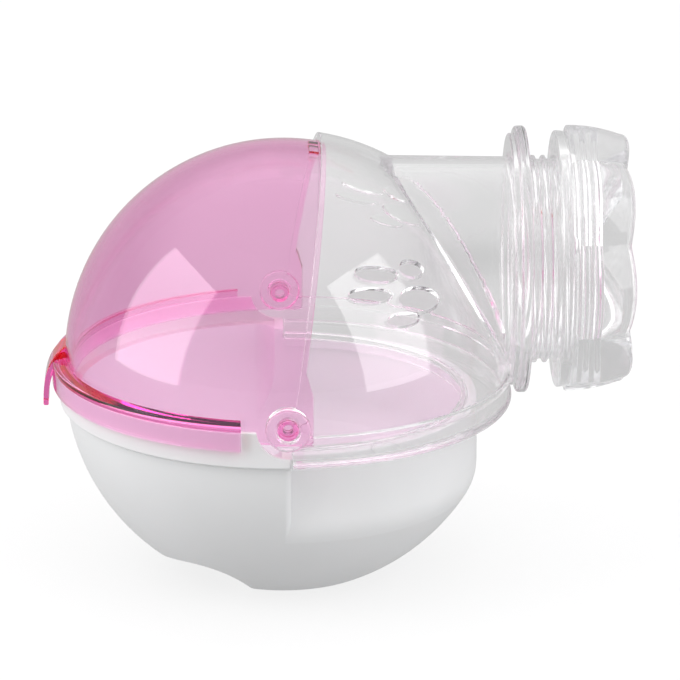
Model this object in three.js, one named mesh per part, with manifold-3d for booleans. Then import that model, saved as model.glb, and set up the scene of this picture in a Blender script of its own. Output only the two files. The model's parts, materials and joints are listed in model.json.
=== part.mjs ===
// A bath pod that hangs on the outside of a small pet's cage: a white bowl, a clear rear cover with an entry
// tube, a pink flip lid that swings back inside the cover, and a scalloped nut that clamps the cage wall.
// Millimetres, +Z up, +X towards the cage. Everything is drawn from the lid's hinge axis, which runs along Y
// through the centre of the domes, and the pod is then lifted until the bowl's foot stands on Z = 0.
import * as THREE from "three";
import { mergeVertices } from "three/addons/utils/BufferGeometryUtils.js";
import Module from "manifold-3d";

const wasm = await Module();
wasm.setup();

// Clearances
const FIT_GAP = 0.4; // between walls that slide in one another
const SEAT_GAP = 0.3; // between faces that rest on one another
const SWING_GAP = 0.7; // between the lid and the cover that it swings into
const LOBE_GAP = 0.6; // round the lid's hinge lobes in the bowl

// Domes and their front and rear edges
const LID_RADIUS = 58;
const LID_WALL = 1.8;
const COVER_WALL = 1.5;
const EDGE_TILT = 8.3; // degrees that the edges between lid and cover lean back
const EDGE_SETBACK = 1.2; // cover's front edge behind the hinge axis, at the axis
const LID_OVERLAP = 1.5; // lid's rear edge under the cover

// Lid: lip, hinge lobes, rail and finger tab
const LIP_DEPTH = 4.8; // below the hinge axis
const LOBE_REACH = 6.4; // behind the hinge axis
const LOBE_SWEEP = 7.6; // farthest point of the lobe's lower corner from the hinge axis
const LOBE_RISE = 8;
const LOBE_SLOPE = 6;
const RAIL_WALL = 1.5;
const RAIL_RISE = 1.5; // ledge above the hinge axis, at the dome
const RAIL_FALL = 0.8; // drop of the ledge towards its rounded edge
const RAIL_DEPTH = 6; // skirt below the hinge axis
const RAIL_END = 12; // rail stops this far in front of the hinge axis
const RAIL_ROUND = 1.5;
const TAB_WIDTH = 9;
const TAB_WALL = 1.4;
const TAB_STANDOFF = 2.4; // beyond the rail
const TAB_DEPTH = 11.7; // below the hinge axis
const BUMP_WIDTH = 10;
const BUMP_LENGTH = 2.6;
const BUMP_HEIGHT = 0.3;

// Hinge
const PIN_RADIUS = 2.75;
const PIN_CORE_RADIUS = 1.4;
const PIN_CORE_DEPTH = 3;
const PIN_RING_WALL = 1.1;
const PIN_RING_HEIGHT = 0.6;
const PIN_INSET = 0.2; // pin end inside the ear's face
const NUB_RADIUS = 1.3;
const NUB_HEIGHT = 0.3;
const NUB_BEHIND = 4.3; // behind the hinge axis
const EAR_RADIUS = 5.8;
const EAR_THICK = 2.9;

// Bowl
const FOOT_RADIUS = 25;
const BOWL_OVERSIZE = 0.2; // bowl's radius beyond the lid's
const BOWL_DROP = 4.5; // centre of the bowl's sphere below the hinge axis
const BOWL_WALL = 2.4;
const RIM_WALL = 1.1;
const BAND_DEPTH = 11.6; // lower edge of the proud band, below the hinge axis
const BAND_BEVEL = 1;
const REBATE_DEPTH = 8.6; // ledge inside the rim, below the hinge axis
const REAR_RADIUS = 51.5; // inset rear wall
const SCOOP_RADIUS = 16;
const SCOOP_FORWARD = 24; // scoop's axis in front of the hinge axis
const SCOOP_RISE = 10.7; // scoop's top above the foot

// Cover: seat ring, skirt and vents
const SEAT_DEPTH = 10.6; // underside of the seat ring, below the hinge axis
const SEAT_THICK = 1.8;
const SPIGOT_DEPTH = 2.5; // lip that reaches down inside the bowl's rear wall
const SPIGOT_WALL = 1.4;
const SKIRT_OUT = 0.4; // beads beyond the dome
const BEAD_RELIEF = 0.5;
const BEAD_LOW = 1.7;
const BEAD_HIGH = 2.9;
const SKIRT_TOP = 1.8; // top of the upper bead, below the hinge axis
const VENTS = [
  { back: 33.8, up: 27.8, length: 10.8, width: 5, tilt: -20 },
  { back: 31.9, up: 34.7, length: 6.8, width: 2.9, tilt: -25 },
  { back: 22.8, up: 35.2, length: 11.4, width: 2.9, tilt: -12 },
  { back: 21.2, up: 30.9, length: 11.6, width: 3, tilt: -8 },
  { back: 29.6, up: 24.2, length: 8.4, width: 3, tilt: -8 },
];

// Entry tube, flange and thread
const TUBE_RISE = 26.4; // tube's axis above the hinge axis
const TUBE_BORE = 24.8;
const TUBE_WALL = 2.3;
const TUBE_DRAFT = 0.8; // wall gained towards the dome
const COLLAR_STANDOUT = 6.2;
const COLLAR_THICK = 1.6;
const FLANGE_STANDOFF = 0.8; // behind the dome's rearmost point
const FLANGE_RADIUS = 35.2;
const FLANGE_THICK = 2.9;
const EDGE_ROUND = 0.5;
const THREAD_WALL = 1.6; // under the ridges
const THREAD_DEPTH = 1;
const THREAD_PITCH = 2.7;
const THREAD_CREST = 0.7;
const THREAD_RIDGES = 6;
const THREAD_LEAD = 2.1; // plain tube before the first ridge's centre
const THREAD_TAIL = 1.8; // and after the last one's
const RELIEF_DEPTH = 0.5; // groove round the thread's root, so that a cage wall lies flat on the flange

// Ring nut
const CLAMP_SPACE = 7.6; // between flange and nut, for the cage wall
const NUT_LENGTH = 19.2;
const NUT_LOBES = 8;
const NUT_CREST = 36;
const NUT_LOBE_HEIGHT = 3;
const NUT_TAPER = 2.6; // crest radius lost towards the far end
const NUT_VALLEY_TAPER = 1.6; // and valley radius
const NUT_ROUND = 2;
const NUT_COLLAR_LENGTH = 2.8;
const NUT_COLLAR_RADIUS = 34;
const NUT_RIDGES = 3;
const NUT_RIDGE_CREST = 0.6;
const NUT_RIDGE_BASE = 1.4;

// Worked out from the sizes above
const TILT = THREE.MathUtils.degToRad(EDGE_TILT);
const COVER_INNER = LID_RADIUS + SWING_GAP;
const COVER_OUTER = COVER_INNER + COVER_WALL;
const SKIRT_RADIUS = COVER_OUTER + SKIRT_OUT;
const RIM_INNER = LID_RADIUS + FIT_GAP;
const RIM_OUTER = RIM_INNER + RIM_WALL;
const RAIL_INNER = RIM_OUTER + FIT_GAP;
const RAIL_OUTER = RAIL_INNER + RAIL_WALL;
const LEDGE_UNDER = RAIL_RISE - RAIL_FALL - RAIL_WALL;
const RIM_TOP = LEDGE_UNDER - FIT_GAP;
const EAR_INNER = LID_RADIUS + SEAT_GAP + NUB_HEIGHT;
const EAR_FACE = EAR_INNER + EAR_THICK;
const BOWL_RADIUS = LID_RADIUS + BOWL_OVERSIZE;
const BOWL_CORE = BOWL_RADIUS - BOWL_WALL;
const BOWL_RISE = Math.sqrt(BOWL_RADIUS ** 2 - FOOT_RADIUS ** 2); // centre of its sphere above the foot
const HINGE_HEIGHT = BOWL_RISE + BOWL_DROP;
const FLOOR = -HINGE_HEIGHT;
const REAR_RIM = -SEAT_DEPTH - SEAT_GAP;
const REAR_CORE = REAR_RADIUS - BOWL_WALL;
const FLANGE_X = COVER_OUTER + FLANGE_STANDOFF;
const CLAMP_X = FLANGE_X + FLANGE_THICK;
const THREAD_MINOR = TUBE_BORE + THREAD_WALL;
const THREAD_MAJOR = THREAD_MINOR + THREAD_DEPTH;
const RELIEF_RADIUS = THREAD_MAJOR + FIT_GAP;
const THREAD_X = CLAMP_X + THREAD_LEAD; // first ridge's centre
const THREAD_BASE = THREAD_CREST + THREAD_DEPTH;
const TUBE_END = THREAD_X + (THREAD_RIDGES - 1) * THREAD_PITCH + THREAD_TAIL;
const NUT_X = CLAMP_X + CLAMP_SPACE;

// Facets and cutters
const ROUND_STEPS = 56; // round the domes
const TUBE_STEPS = 32; // round the tube, thread and nut
const SMALL_STEPS = 20; // round pins, ears and vents
const ARC_STEPS = 11; // along a quarter of a dome
const LOBE_STEPS = 8; // round one lobe of the nut
const TAPER_STEPS = 3; // along the nut's taper
const FAR = 4 * LID_RADIUS; // past everything
const PAST = 1; // how far a cutter or a join runs past a face

const point = (x, y) => new THREE.Vector2(x, y);

// Points on an arc in a profile's plane, from one angle to another.
function arc(centre, radius, from, to, steps = ARC_STEPS) {
  const points = [];
  for (let i = 0; i <= steps; i++) {
    const angle = from + ((to - from) * i) / steps;
    points.push(point(centre.x + radius * Math.cos(angle), centre.y + radius * Math.sin(angle)));
  }
  return points;
}

// Angle at which a circle about a centre at height y crosses another height.
const angleAt = (height, centreY, radius) => Math.asin((height - centreY) / radius);

// A closed geometry as a solid, with its shared corners merged and its faces turned outwards.
function solid(geometry) {
  const bare = geometry.clone();
  bare.deleteAttribute("normal");
  bare.deleteAttribute("uv");
  const merged = mergeVertices(bare, 1e-4);
  const faces = [];
  const index = merged.index.array;
  for (let i = 0; i < index.length; i += 3) {
    const [a, b, c] = [index[i], index[i + 1], index[i + 2]];
    if (a !== b && b !== c && c !== a) faces.push(a, b, c);
  }
  const make = (corners) =>
    new wasm.Manifold(
      new wasm.Mesh({
        numProp: 3,
        vertProperties: new Float32Array(merged.attributes.position.array),
        triVerts: new Uint32Array(corners),
      }),
    );
  const made = make(faces);
  return made.volume() < 0 ? make(faces.reverse()) : made;
}

const join = (...solids) => solids.reduce((a, b) => a.add(b));
const cut = (body, ...tools) => tools.reduce((a, b) => a.subtract(b), body);
const keep = (body, ...regions) => regions.reduce((a, b) => a.intersect(b), body);

// A closed profile of (radius, height) points turned about Z, with its first facet at an angle.
const turnedUpright = (profile, start = 0) =>
  solid(new THREE.LatheGeometry([...profile, profile[0]], ROUND_STEPS, start).rotateX(Math.PI / 2));

// A closed profile of (radius, distance) points turned about X.
const turnedAlong = (profile) =>
  solid(new THREE.LatheGeometry([...profile, profile[0]], TUBE_STEPS).rotateZ(-Math.PI / 2));

// An outline of (x, z) points pushed along Y, from one distance to another.
function sideways(outline, from, to) {
  const pushed = new THREE.ExtrudeGeometry(new THREE.Shape(outline), {
    depth: to - from,
    steps: 1,
    bevelEnabled: false,
    curveSegments: SMALL_STEPS,
  });
  return solid(pushed.rotateX(Math.PI / 2).translate(0, to, 0));
}

// A round rod along Y about (x, z), on the side that sign gives.
function rod(radius, from, to, sign, x = 0, z = 0, steps = SMALL_STEPS) {
  const shape = new THREE.CylinderGeometry(radius, radius, to - from, steps);
  return solid(shape.translate(x, (sign * (from + to)) / 2, z));
}

const onBothSides = (make) => join(make(-1), make(1));

// A body as a named mesh with its finish.
function mesh(name, body, finish) {
  const data = body.getMesh();
  const geometry = new THREE.BufferGeometry();
  geometry.setAttribute("position", new THREE.BufferAttribute(data.vertProperties, 3));
  geometry.setIndex(new THREE.BufferAttribute(data.triVerts, 1));
  geometry.computeVertexNormals();
  const made = new THREE.Mesh(geometry, new THREE.MeshStandardMaterial(finish));
  made.name = name;
  return made;
}

// Where the edge between lid and cover lies at a height, moved back by a distance.
const edgeX = (height, back) => EDGE_SETBACK + back + Math.max(height, 0) * Math.tan(TILT);

// White bowl: a round front with a proud rim, an inset rear wall and a flat foot.
function sandBowl() {
  const centre = point(0, -BOWL_DROP);
  const bandBottom = -BAND_DEPTH;
  const footAngle = angleAt(FLOOR, centre.y, BOWL_RADIUS);
  const bandAngle = angleAt(bandBottom, centre.y, BOWL_RADIUS);
  const outside = turnedUpright([
    point(0, FLOOR),
    ...arc(centre, BOWL_RADIUS, footAngle, bandAngle),
    point(RIM_OUTER, bandBottom + BAND_BEVEL),
    point(RIM_OUTER, RIM_TOP),
    point(0, RIM_TOP),
  ]);
  const floorAngle = angleAt(FLOOR + BOWL_WALL, centre.y, BOWL_CORE);
  const rebateAngle = angleAt(-REBATE_DEPTH, centre.y, BOWL_CORE);
  const inside = turnedUpright([
    point(0, FLOOR + BOWL_WALL),
    ...arc(centre, BOWL_CORE, floorAngle, rebateAngle),
    point(RIM_INNER, -REBATE_DEPTH),
    point(RIM_INNER, RIM_TOP + PAST),
    point(0, RIM_TOP + PAST),
  ]);
  // What lies behind a plane and outside an upright drum, which the inset rear leaves out. The drum's facets
  // start half a step on, so that its corners fall between the bowl's.
  const low = FLOOR - PAST;
  const rearWaste = (x, radius, top) => {
    const behind = sideways([point(x, -FAR), point(FAR, -FAR), point(FAR, FAR), point(x, FAR)], -FAR, FAR);
    const drum = [point(0, low), point(radius, low), point(radius, top), point(0, top)];
    return cut(behind, turnedUpright(drum, Math.PI / ROUND_STEPS));
  };
  const stepX = EDGE_SETBACK - FIT_GAP;
  const body = cut(outside, rearWaste(stepX, REAR_RADIUS, REAR_RIM));
  const hollow = cut(inside, rearWaste(stepX - BOWL_WALL, REAR_CORE, FAR));
  const scoopZ = FLOOR + SCOOP_RISE - SCOOP_RADIUS;
  const scoop = (radius) => rod(radius, -FAR, FAR, 1, -SCOOP_FORWARD, scoopZ, ROUND_STEPS);
  const notches = onBothSides((side) => rod(LOBE_SWEEP + LOBE_GAP, REAR_CORE - BOWL_WALL, FAR, side));
  return cut(body, cut(hollow, scoop(SCOOP_RADIUS + BOWL_WALL)), scoop(SCOOP_RADIUS), notches);
}

// Pink lid: a quarter dome with a rail over the bowl's rim, a finger tab and hinge pins.
function flipLid() {
  const centre = point(0, 0);
  const low = -LIP_DEPTH - PAST;
  const outerLow = angleAt(low, 0, LID_RADIUS);
  const core = LID_RADIUS - LID_WALL;
  const shell = turnedUpright([
    ...arc(centre, LID_RADIUS, outerLow, Math.PI / 2),
    ...arc(centre, core, Math.PI / 2, angleAt(low, 0, core)),
  ]);
  const edge = (height) => point(edgeX(height, LID_OVERLAP), height);
  const side = sideways(
    [
      point(-FAR, -LIP_DEPTH),
      point(Math.sqrt(LOBE_SWEEP ** 2 - LIP_DEPTH ** 2), -LIP_DEPTH),
      point(LOBE_REACH, -Math.sqrt(LOBE_SWEEP ** 2 - LOBE_REACH ** 2)),
      point(LOBE_REACH, LOBE_RISE),
      edge(LOBE_RISE + LOBE_SLOPE),
      edge(FAR),
      point(-FAR, FAR),
    ],
    -FAR,
    FAR,
  );
  const dome = keep(shell, side);

  const inDome = LID_RADIUS - LID_WALL / 2;
  const railBottom = -RAIL_DEPTH;
  const channel = turnedUpright([
    point(inDome, RAIL_RISE),
    point(LID_RADIUS, RAIL_RISE),
    point(RAIL_OUTER - EDGE_ROUND, RAIL_RISE - RAIL_FALL),
    point(RAIL_OUTER, RAIL_RISE - RAIL_FALL - EDGE_ROUND),
    point(RAIL_OUTER, railBottom),
    point(RAIL_INNER, railBottom),
    point(RAIL_INNER, LEDGE_UNDER),
    point(inDome, LEDGE_UNDER),
  ]);
  const railCorner = point(-RAIL_END - RAIL_ROUND, railBottom + RAIL_ROUND);
  const railEnd = sideways(
    [
      point(-FAR, railBottom),
      ...arc(railCorner, RAIL_ROUND, -Math.PI / 2, 0, SMALL_STEPS / 4),
      point(-RAIL_END, RAIL_RISE),
      point(-FAR, RAIL_RISE),
    ],
    -FAR,
    FAR,
  );
  const rail = keep(channel, railEnd);

  const tabX = -RAIL_OUTER - TAB_STANDOFF;
  const root = -inDome * Math.cos(angleAt(RAIL_DEPTH - EDGE_ROUND, 0, inDome));
  const tabFace = new THREE.CubicBezierCurve(
    point(root, RAIL_DEPTH - EDGE_ROUND),
    point(-RAIL_OUTER, RAIL_RISE + EDGE_ROUND),
    point(tabX, RAIL_RISE - TAB_STANDOFF),
    point(tabX, -TAB_DEPTH),
  );
  const tabBack = new THREE.CubicBezierCurve(
    point(tabX + TAB_WALL, -TAB_DEPTH),
    point(tabX + TAB_WALL, RAIL_RISE - TAB_STANDOFF - TAB_WALL),
    point(-RAIL_OUTER + TAB_WALL, LEDGE_UNDER + EDGE_ROUND),
    point(-inDome, LEDGE_UNDER + EDGE_ROUND),
  );
  const tabOutline = [...tabFace.getPoints(ARC_STEPS), ...tabBack.getPoints(ARC_STEPS)];
  const tab = sideways(tabOutline, -TAB_WIDTH / 2, TAB_WIDTH / 2);

  const bumpEnd = edgeX(LID_RADIUS, 0) - SEAT_GAP;
  const bumpSkin = turnedUpright([
    ...arc(centre, LID_RADIUS + BUMP_HEIGHT, Math.PI / 4, Math.PI / 2),
    ...arc(centre, LID_RADIUS - LID_WALL / 2, Math.PI / 2, Math.PI / 4),
  ]);
  const bumpSide = sideways(
    [
      point(bumpEnd - BUMP_LENGTH, 0),
      point(bumpEnd, 0),
      point(bumpEnd, FAR),
      point(bumpEnd - BUMP_LENGTH, FAR),
    ],
    -BUMP_WIDTH / 2,
    BUMP_WIDTH / 2,
  );
  const bump = keep(bumpSkin, bumpSide);

  const mid = LID_RADIUS - LID_WALL / 2;
  const pins = onBothSides((s) => rod(PIN_RADIUS, mid, EAR_FACE - PIN_INSET, s));
  const ringRadius = PIN_CORE_RADIUS + PIN_RING_WALL;
  const ringFace = core - PIN_RING_HEIGHT;
  const rings = onBothSides((s) => rod(ringRadius, ringFace, mid, s));
  const cores = onBothSides((s) => rod(PIN_CORE_RADIUS, ringFace - PAST, core + PIN_CORE_DEPTH, s));
  const nubs = onBothSides((s) => rod(NUB_RADIUS, mid, LID_RADIUS + NUB_HEIGHT / 2, s, NUB_BEHIND));
  return cut(join(dome, rail, tab, bump, pins, rings, nubs), cores);
}

// A trapezoid ridge on a profile of (radius, distance) points.
const ridge = (middle, root, crest, base, top) => [
  point(root, middle - base / 2),
  point(crest, middle - top / 2),
  point(crest, middle + top / 2),
  point(root, middle + base / 2),
];

// Entry tube with its collar, flange and thread, not bored yet.
function entryTube() {
  const outer = TUBE_BORE + TUBE_WALL;
  const collarX = FLANGE_X - COLLAR_THICK;
  const collar = outer + COLLAR_STANDOUT;
  const start = LID_RADIUS / 3; // well inside the dome, where the hollow removes it
  const profile = [
    point(0, start),
    point(outer + TUBE_DRAFT, start),
    point(outer, collarX),
    point(collar - EDGE_ROUND, collarX),
    point(collar, collarX + EDGE_ROUND),
    point(collar, FLANGE_X),
    point(FLANGE_RADIUS - EDGE_ROUND, FLANGE_X),
    point(FLANGE_RADIUS, FLANGE_X + EDGE_ROUND),
    point(FLANGE_RADIUS, CLAMP_X - EDGE_ROUND),
    point(FLANGE_RADIUS - EDGE_ROUND, CLAMP_X),
    point(RELIEF_RADIUS, CLAMP_X),
    point(RELIEF_RADIUS, CLAMP_X - RELIEF_DEPTH),
    point(THREAD_MINOR, CLAMP_X - RELIEF_DEPTH),
  ];
  for (let i = 0; i < THREAD_RIDGES; i++) {
    const middle = THREAD_X + i * THREAD_PITCH;
    profile.push(...ridge(middle, THREAD_MINOR, THREAD_MAJOR, THREAD_BASE, THREAD_CREST));
  }
  profile.push(point(THREAD_MINOR, TUBE_END), point(0, TUBE_END));
  return turnedAlong(profile).translate([0, 0, TUBE_RISE]);
}

// Clear cover: rear quarter dome, seat ring on the bowl, hinge ears, vents and the entry tube.
function rearCover() {
  const centre = point(0, 0);
  const seatTop = -SEAT_DEPTH + SEAT_THICK;
  const spigotOuter = REAR_CORE - FIT_GAP;
  const spigotInner = spigotOuter - SPIGOT_WALL;
  const lowBead = -SEAT_DEPTH + BEAD_LOW;
  const highBead = -SKIRT_TOP - BEAD_HIGH;
  const relief = SKIRT_RADIUS - BEAD_RELIEF;
  const bottom = -SEAT_DEPTH - SPIGOT_DEPTH;
  const outside = turnedUpright([
    point(0, bottom),
    point(spigotOuter, bottom),
    point(spigotOuter, -SEAT_DEPTH),
    point(SKIRT_RADIUS, -SEAT_DEPTH),
    point(SKIRT_RADIUS, lowBead - BEAD_RELIEF),
    point(relief, lowBead),
    point(relief, highBead),
    point(SKIRT_RADIUS, highBead + BEAD_RELIEF),
    point(SKIRT_RADIUS, -SKIRT_TOP - BEAD_RELIEF),
    ...arc(centre, COVER_OUTER, angleAt(-SKIRT_TOP, 0, COVER_OUTER), Math.PI / 2),
  ]);
  const hollow = turnedUpright([
    point(0, bottom - PAST),
    point(spigotInner, bottom - PAST),
    point(spigotInner, seatTop),
    point(COVER_INNER, seatTop),
    ...arc(centre, COVER_INNER, 0, Math.PI / 2),
  ]);
  const mouth = TUBE_END + PAST;
  const bore = turnedAlong([point(0, 0), point(TUBE_BORE, 0), point(TUBE_BORE, mouth), point(0, mouth)]);
  const behind = sideways(
    [
      point(edgeX(0, 0), -FAR),
      point(FAR, -FAR),
      point(FAR, FAR),
      point(edgeX(FAR, 0), FAR),
      point(edgeX(0, 0), 0),
    ],
    -FAR,
    FAR,
  );
  const filled = join(outside, entryTube());
  const body = keep(cut(filled, hollow, bore.translate([0, 0, TUBE_RISE])), behind);
  const ears = onBothSides((side) => rod(EAR_RADIUS, EAR_INNER, EAR_FACE, side));
  const holes = onBothSides((side) => rod(PIN_RADIUS + FIT_GAP, EAR_INNER - PAST, FAR, side));
  return cut(join(body, ears), holes, ...VENTS.map((vent) => onBothSides((side) => ventHole(vent, side))));
}

// An oval hole through the dome's side, made along Y as the mould's slide makes it.
function ventHole(vent, side) {
  const oval = new THREE.EllipseCurve(
    vent.back,
    vent.up,
    vent.length / 2,
    vent.width / 2,
    0,
    2 * Math.PI,
    false,
    THREE.MathUtils.degToRad(vent.tilt),
  );
  const outline = oval.getPoints(SMALL_STEPS).slice(0, SMALL_STEPS);
  return side < 0 ? sideways(outline, -FAR, -TUBE_BORE) : sideways(outline, TUBE_BORE, FAR);
}

// Scalloped nut about its own axis, from its clamping face onwards.
function ringNut() {
  const rosette = [];
  for (let i = 0; i < NUT_LOBES * LOBE_STEPS; i++) {
    const angle = (2 * Math.PI * i) / (NUT_LOBES * LOBE_STEPS);
    const swell = Math.abs(Math.cos((NUT_LOBES * angle) / 2));
    const radius = NUT_CREST - NUT_LOBE_HEIGHT * (1 - swell);
    rosette.push(point(radius * Math.sin(angle), radius * Math.cos(angle)));
  }
  // The grip's stations: distance along the axis, share of the taper and share of the rounded end.
  const gripStart = NUT_COLLAR_LENGTH + EDGE_ROUND;
  const roundStart = NUT_LENGTH - NUT_ROUND;
  const stations = [{ x: NUT_COLLAR_LENGTH, taper: 0, round: EDGE_ROUND / NUT_ROUND }];
  for (let i = 0; i <= TAPER_STEPS; i++) {
    const along = i / TAPER_STEPS;
    stations.push({ x: THREE.MathUtils.lerp(gripStart, roundStart, along), taper: along ** 2, round: 0 });
  }
  stations.push({ x: roundStart + NUT_ROUND * Math.SQRT1_2, taper: 1, round: 1 - Math.SQRT1_2 });
  stations.push({ x: NUT_LENGTH, taper: 1, round: 1 });
  const grip = new THREE.ExtrudeGeometry(new THREE.Shape(rosette), {
    depth: 1,
    steps: stations.length - 1,
    bevelEnabled: false,
  });
  grip.rotateX(Math.PI / 2).rotateZ(Math.PI / 2);
  const places = grip.getAttribute("position");
  for (let i = 0; i < places.count; i++) {
    const station = stations[Math.round(places.getX(i) * (stations.length - 1))];
    const radius = Math.hypot(places.getY(i), places.getZ(i));
    const swell = 1 - (NUT_CREST - radius) / NUT_LOBE_HEIGHT;
    const taper = THREE.MathUtils.lerp(NUT_VALLEY_TAPER, NUT_TAPER, swell);
    const loss = taper * station.taper + NUT_ROUND * station.round;
    const shrink = (radius - loss) / radius;
    places.setXYZ(i, station.x, places.getY(i) * shrink, places.getZ(i) * shrink);
  }
  const collar = turnedAlong([
    point(0, 0),
    point(NUT_COLLAR_RADIUS - EDGE_ROUND, 0),
    point(NUT_COLLAR_RADIUS, EDGE_ROUND),
    point(NUT_COLLAR_RADIUS - EDGE_ROUND, NUT_COLLAR_LENGTH + EDGE_ROUND),
    point(0, NUT_COLLAR_LENGTH + EDGE_ROUND),
  ]);

  const root = THREAD_MAJOR + FIT_GAP;
  const crest = THREAD_MINOR + FIT_GAP;
  const bore = [point(0, -PAST), point(root, -PAST)];
  const firstGroove = Math.ceil((NUT_X + NUT_RIDGE_BASE - THREAD_X) / THREAD_PITCH - 0.5) + 0.5;
  for (let i = 0; i < NUT_RIDGES; i++) {
    const middle = THREAD_X + (firstGroove + i) * THREAD_PITCH - NUT_X;
    bore.push(...ridge(middle, root, crest, NUT_RIDGE_BASE, NUT_RIDGE_CREST));
  }
  bore.push(point(root, NUT_LENGTH + PAST), point(0, NUT_LENGTH + PAST));
  return cut(join(solid(grip), collar), turnedAlong(bore));
}

const WHITE_PLASTIC = { color: 0xe6e8ea, roughness: 0.38, metalness: 0 };
const PINK_PLASTIC = { color: 0xf08cc0, roughness: 0.12, metalness: 0, transparent: true, opacity: 0.55 };
const CLEAR_PLASTIC = { color: 0xf2f4f5, roughness: 0.08, metalness: 0, transparent: true, opacity: 0.3 };

const nut = mesh("ring_nut", ringNut(), CLEAR_PLASTIC);
nut.position.set(NUT_X, 0, TUBE_RISE);

const pod = new THREE.Group();
pod.position.z = HINGE_HEIGHT;
pod.add(mesh("sand_bowl", sandBowl(), WHITE_PLASTIC));
pod.add(mesh("rear_cover", rearCover(), CLEAR_PLASTIC));
pod.add(mesh("flip_lid", flipLid(), PINK_PLASTIC));
pod.add(nut);

const part = new THREE.Group();
part.add(pod);
export default part;
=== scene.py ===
"""The looks of a cage-side sand bath pod: moulded shells, their finishes, the studio and the camera."""

import json
import logging
import math
from collections.abc import Callable, Iterator, Sequence
from contextlib import contextmanager
from dataclasses import dataclass, field
from enum import Enum
from functools import cache
from typing import Any

import bmesh
import bpy
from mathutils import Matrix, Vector


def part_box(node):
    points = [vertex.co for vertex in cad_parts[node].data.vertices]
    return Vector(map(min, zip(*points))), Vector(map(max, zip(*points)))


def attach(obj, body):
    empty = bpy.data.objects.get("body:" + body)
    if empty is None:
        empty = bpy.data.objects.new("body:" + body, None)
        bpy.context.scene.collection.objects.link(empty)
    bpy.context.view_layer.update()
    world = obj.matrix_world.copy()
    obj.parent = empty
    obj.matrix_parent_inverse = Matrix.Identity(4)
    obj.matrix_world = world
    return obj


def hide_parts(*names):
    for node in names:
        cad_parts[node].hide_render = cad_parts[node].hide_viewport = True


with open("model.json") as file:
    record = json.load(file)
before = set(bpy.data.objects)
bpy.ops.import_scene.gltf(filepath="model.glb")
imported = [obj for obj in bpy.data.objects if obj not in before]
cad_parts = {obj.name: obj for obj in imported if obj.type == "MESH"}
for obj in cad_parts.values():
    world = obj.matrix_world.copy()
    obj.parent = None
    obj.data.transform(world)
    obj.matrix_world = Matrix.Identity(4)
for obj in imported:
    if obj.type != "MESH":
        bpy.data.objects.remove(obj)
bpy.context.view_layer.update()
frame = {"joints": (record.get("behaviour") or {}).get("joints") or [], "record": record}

LOG = logging.getLogger("bath_pod")
MM = 0.001
WELD = 0.002 * MM  # corners closer than this are one
FAR = 200 * MM  # past everything on the pod
SHARED_SIDE = 0.48  # most of a side that one rounding takes, where both its corners are rounded
FREE_SIDE = 0.95  # most of it where only one is
TRIM_PAST = 0.1  # share of a run by which it is trimmed past its ends
TRIM_MARGIN = 3 * MM  # faces that reach a run's ends but for this are cut along it
TRIM_NEAR = 6 * MM  # if they lie no farther off it
NORMAL_WEIGHT = 60  # how much the larger faces lead the normals
WHITE_LIGHT = (1.0, 1.0, 1.0, 1.0)

Flat = tuple[float, float]
Triple = tuple[float, float, float]
Corner = Triple  # a point of an outline, and the radius that rounds it
Settings = dict[str, Any]
Inputs = dict[str | int, Any]


class Axis(Enum):
    """The directions that a profile turns about."""

    X = (1.0, 0.0, 0.0)
    Y = (0.0, 1.0, 0.0)
    Z = (0.0, 0.0, 1.0)

    def place(self, radius: float, along: float) -> Vector:
        """Puts a profile's point in the plane that holds this axis.

        Args:
            radius: distance from the axis.
            along: distance along the axis.

        Returns:
            The point, measured from the turning centre.
        """
        if self is Axis.X:
            return Vector((along, 0.0, radius))
        if self is Axis.Y:
            return Vector((radius, along, 0.0))
        return Vector((radius, 0.0, along))


class Act(Enum):
    """How one solid acts on another."""

    JOIN = "UNION"
    CUT = "DIFFERENCE"
    KEEP = "INTERSECT"


def arc(centre: Flat, radius: float, start: float, end: float, steps: int) -> list[Corner]:
    """Draws part of a circle in a profile's plane.

    Args:
        centre: the circle's centre.
        radius: the circle's radius.
        start: first angle, in radians.
        end: last angle, in radians.
        steps: how many chords the arc has.

    Returns:
        The arc's points, as corners with no rounding.
    """
    points = []
    for i in range(steps + 1):
        angle = start + (end - start) * i / steps
        points.append((centre[0] + radius * math.cos(angle), centre[1] + radius * math.sin(angle), 0.0))
    return points


def bezier(ends: Sequence[Flat], steps: int) -> list[Corner]:
    """Draws a cubic curve through its first and last of four control points.

    Args:
        ends: the four control points.
        steps: how many chords the curve has.

    Returns:
        The curve's points, as corners with no rounding.
    """
    points = []
    for i in range(steps + 1):
        t = i / steps
        weights = ((1 - t) ** 3, 3 * t * (1 - t) ** 2, 3 * t * t * (1 - t), t**3)
        u = sum(w * p[0] for w, p in zip(weights, ends))
        v = sum(w * p[1] for w, p in zip(weights, ends))
        points.append((u, v, 0.0))
    return points


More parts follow.
